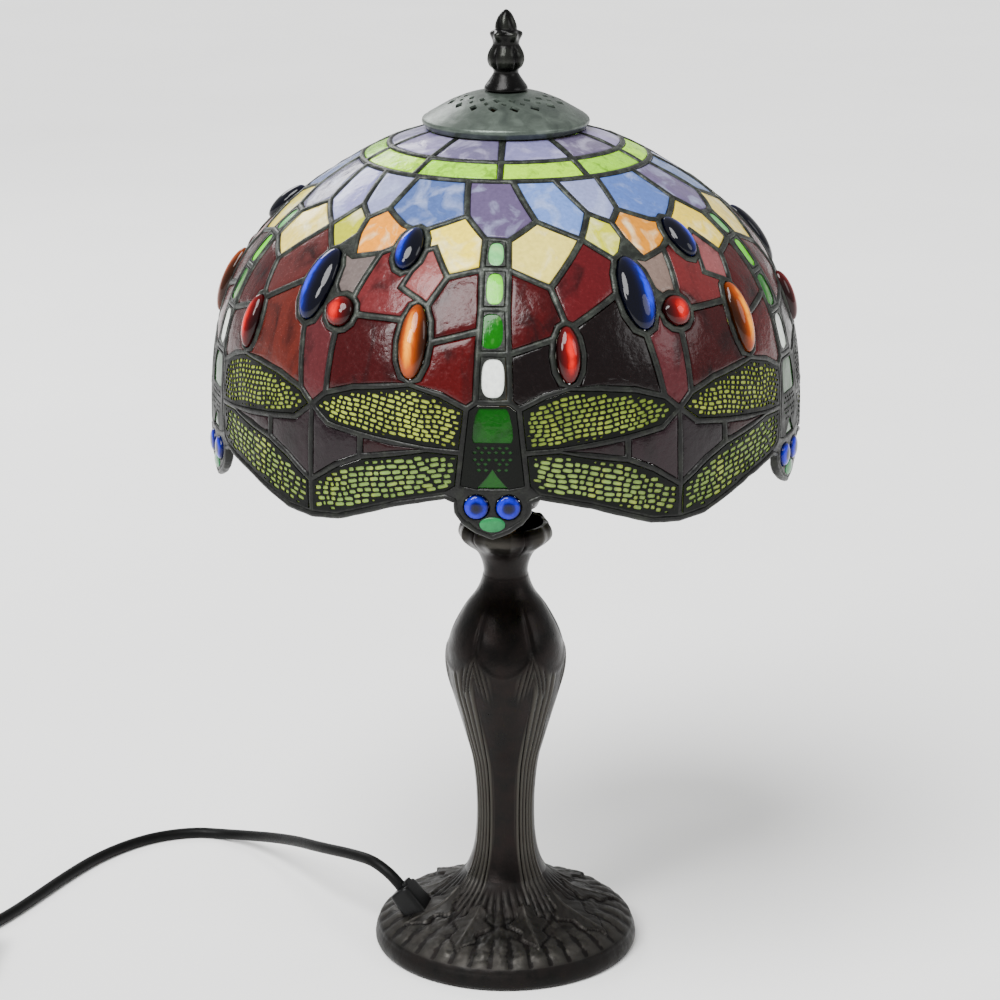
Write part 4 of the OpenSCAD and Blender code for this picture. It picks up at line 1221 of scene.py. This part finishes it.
# ---- socket, bulb and gland ----
def bulb_base_profile():
    """A screw base: a threaded sleeve over a dark ring and a contact."""
    base = 260.2
    rows = [(0.02, base), (3.0, base), (4.0, base + 1.4), (11.0, base + 2.8), (12.4, base + 4.4)]
    rows += [(12.55 + 0.42 * math.sin(TAU * h / 3.6), base + 5 + h) for h in [0.3 * i for i in range(60)]]
    rows += [(12.8, base + 24.4), (13.3, base + 26), (12.4, base + 26), (0.02, base + 25.5)]
    return rows


lathe("bulb_screw", bulb_base_profile(), None, STEEL, "bulb", ("bulb_base",), 96)
GLAND = (Matrix.Translation((-42, -12, 14)) @ Matrix.Rotation(math.radians(165), 4, "Z")
         @ Matrix.Rotation(math.radians(40), 4, "Y"))
rounded_box("gland_block", (14, 18, 21), 3.5, ("cord_gland",), GLAND @ Matrix.Translation((0, 0, 11.4)),
            crown=0.3, taper=0.12)
rounded_box("gland_lug", (3.2, 8, 4), 1.2, (), GLAND @ Matrix.Translation((-4.3, 0, 22)))


REFINED = [
    (STEEL, "column", "steel", {"rod_nut": 0.4, "lock_washer": 0.3, "cup_nut": 0.4, "gland_screw": 0.3}),
    (BRASS, "column", "gilt_brass", {"spacer": 0.4, "harp_saddle": 0.35, "harp_stud": 0.3}),
    (BRASS, "front_ferrule", "gilt_brass", {"ferrule_front": 0.6}),
    (BRASS, "back_ferrule", "gilt_brass", {"ferrule_back": 0.6}),
    (SOCKET, "column", "gilt_brass", {"socket_cap": 0.3}),
    (BRASS, "column", "gilt_brass", {"socket_shell": 0.25}),
    (INSULATOR, "column", "phenolic", {"socket_core": 0.3}),
    (BRASS, "shade", "gilt_brass", {"spider_wheel": 0.5, "crown_ring": 0.25}),
    (FINIAL, "shade", "finial_bronze", {"seat_washer": 0.3}),
]
for finish, body, slot, widths in REFINED:
    for node, width in widths.items():
        refined(node, finish, body, width)

KEPT = {
    "felt_pad": FELT, "ballast": IRON, "threaded_rod": STEEL, "lamp_wire": CORD, "harp": BRASS,
    "screw_shell": BRASS, "centre_contact": BRASS, "bulb_glass": FROSTED,
}
for node, finish in KEPT.items():
    for material_slot in bpy.data.objects[node].material_slots:
        material_slot.material = finish

# ---- floor, light and background ----
floor = bpy.data.meshes.new("floor")
floor.from_pydata([(-9, -9, 0), (9, -9, 0), (9, 9, 0), (-9, 9, 0)], [], [(0, 1, 2, 3)])
floor.materials.append(mottled("floor", 0.8, 0.0, (300, 3), [(0.3, "f6f6f5"), (0.7, "fafaf9")], []))
add_object("floor", floor)


def add_light(name, place, power, size, height=0.3):
    """A disc lamp of so many metres aimed at a height on the object, or a sun without a size."""
    data = bpy.data.lights.new(name, "AREA" if size else "SUN")
    data.energy = power
    if size:
        data.shape = "DISK"
        data.size = size
    else:
        data.angle = math.radians(DIFFUSER_ANGLE)
    light = add_object(name, data)
    light.location = place
    light.rotation_euler = (Vector(place) - Vector((0, 0, height))).to_track_quat("Z", "Y").to_euler()


DIFFUSER_ANGLE = 34  # degrees of sky that the even light comes from
add_light("diffuser", (-0.5, -0.9, 1.6), 5.0, None, 0)
add_light("key", (-1.3, -1.6, 1.7), 26, 0.7)
add_light("fill", (2.2, -0.7, 1.5), 14, 1.2)
add_light("back", (-0.9, 1.6, 1.3), 14, 0.8, 0.35)
world = bpy.data.worlds.new("studio")
world.use_nodes = True
world.node_tree.nodes["Background"].inputs["Color"].default_value = (1, 1, 1, 1)
world.node_tree.nodes["Background"].inputs["Strength"].default_value = 0.7
bpy.context.scene.world = world
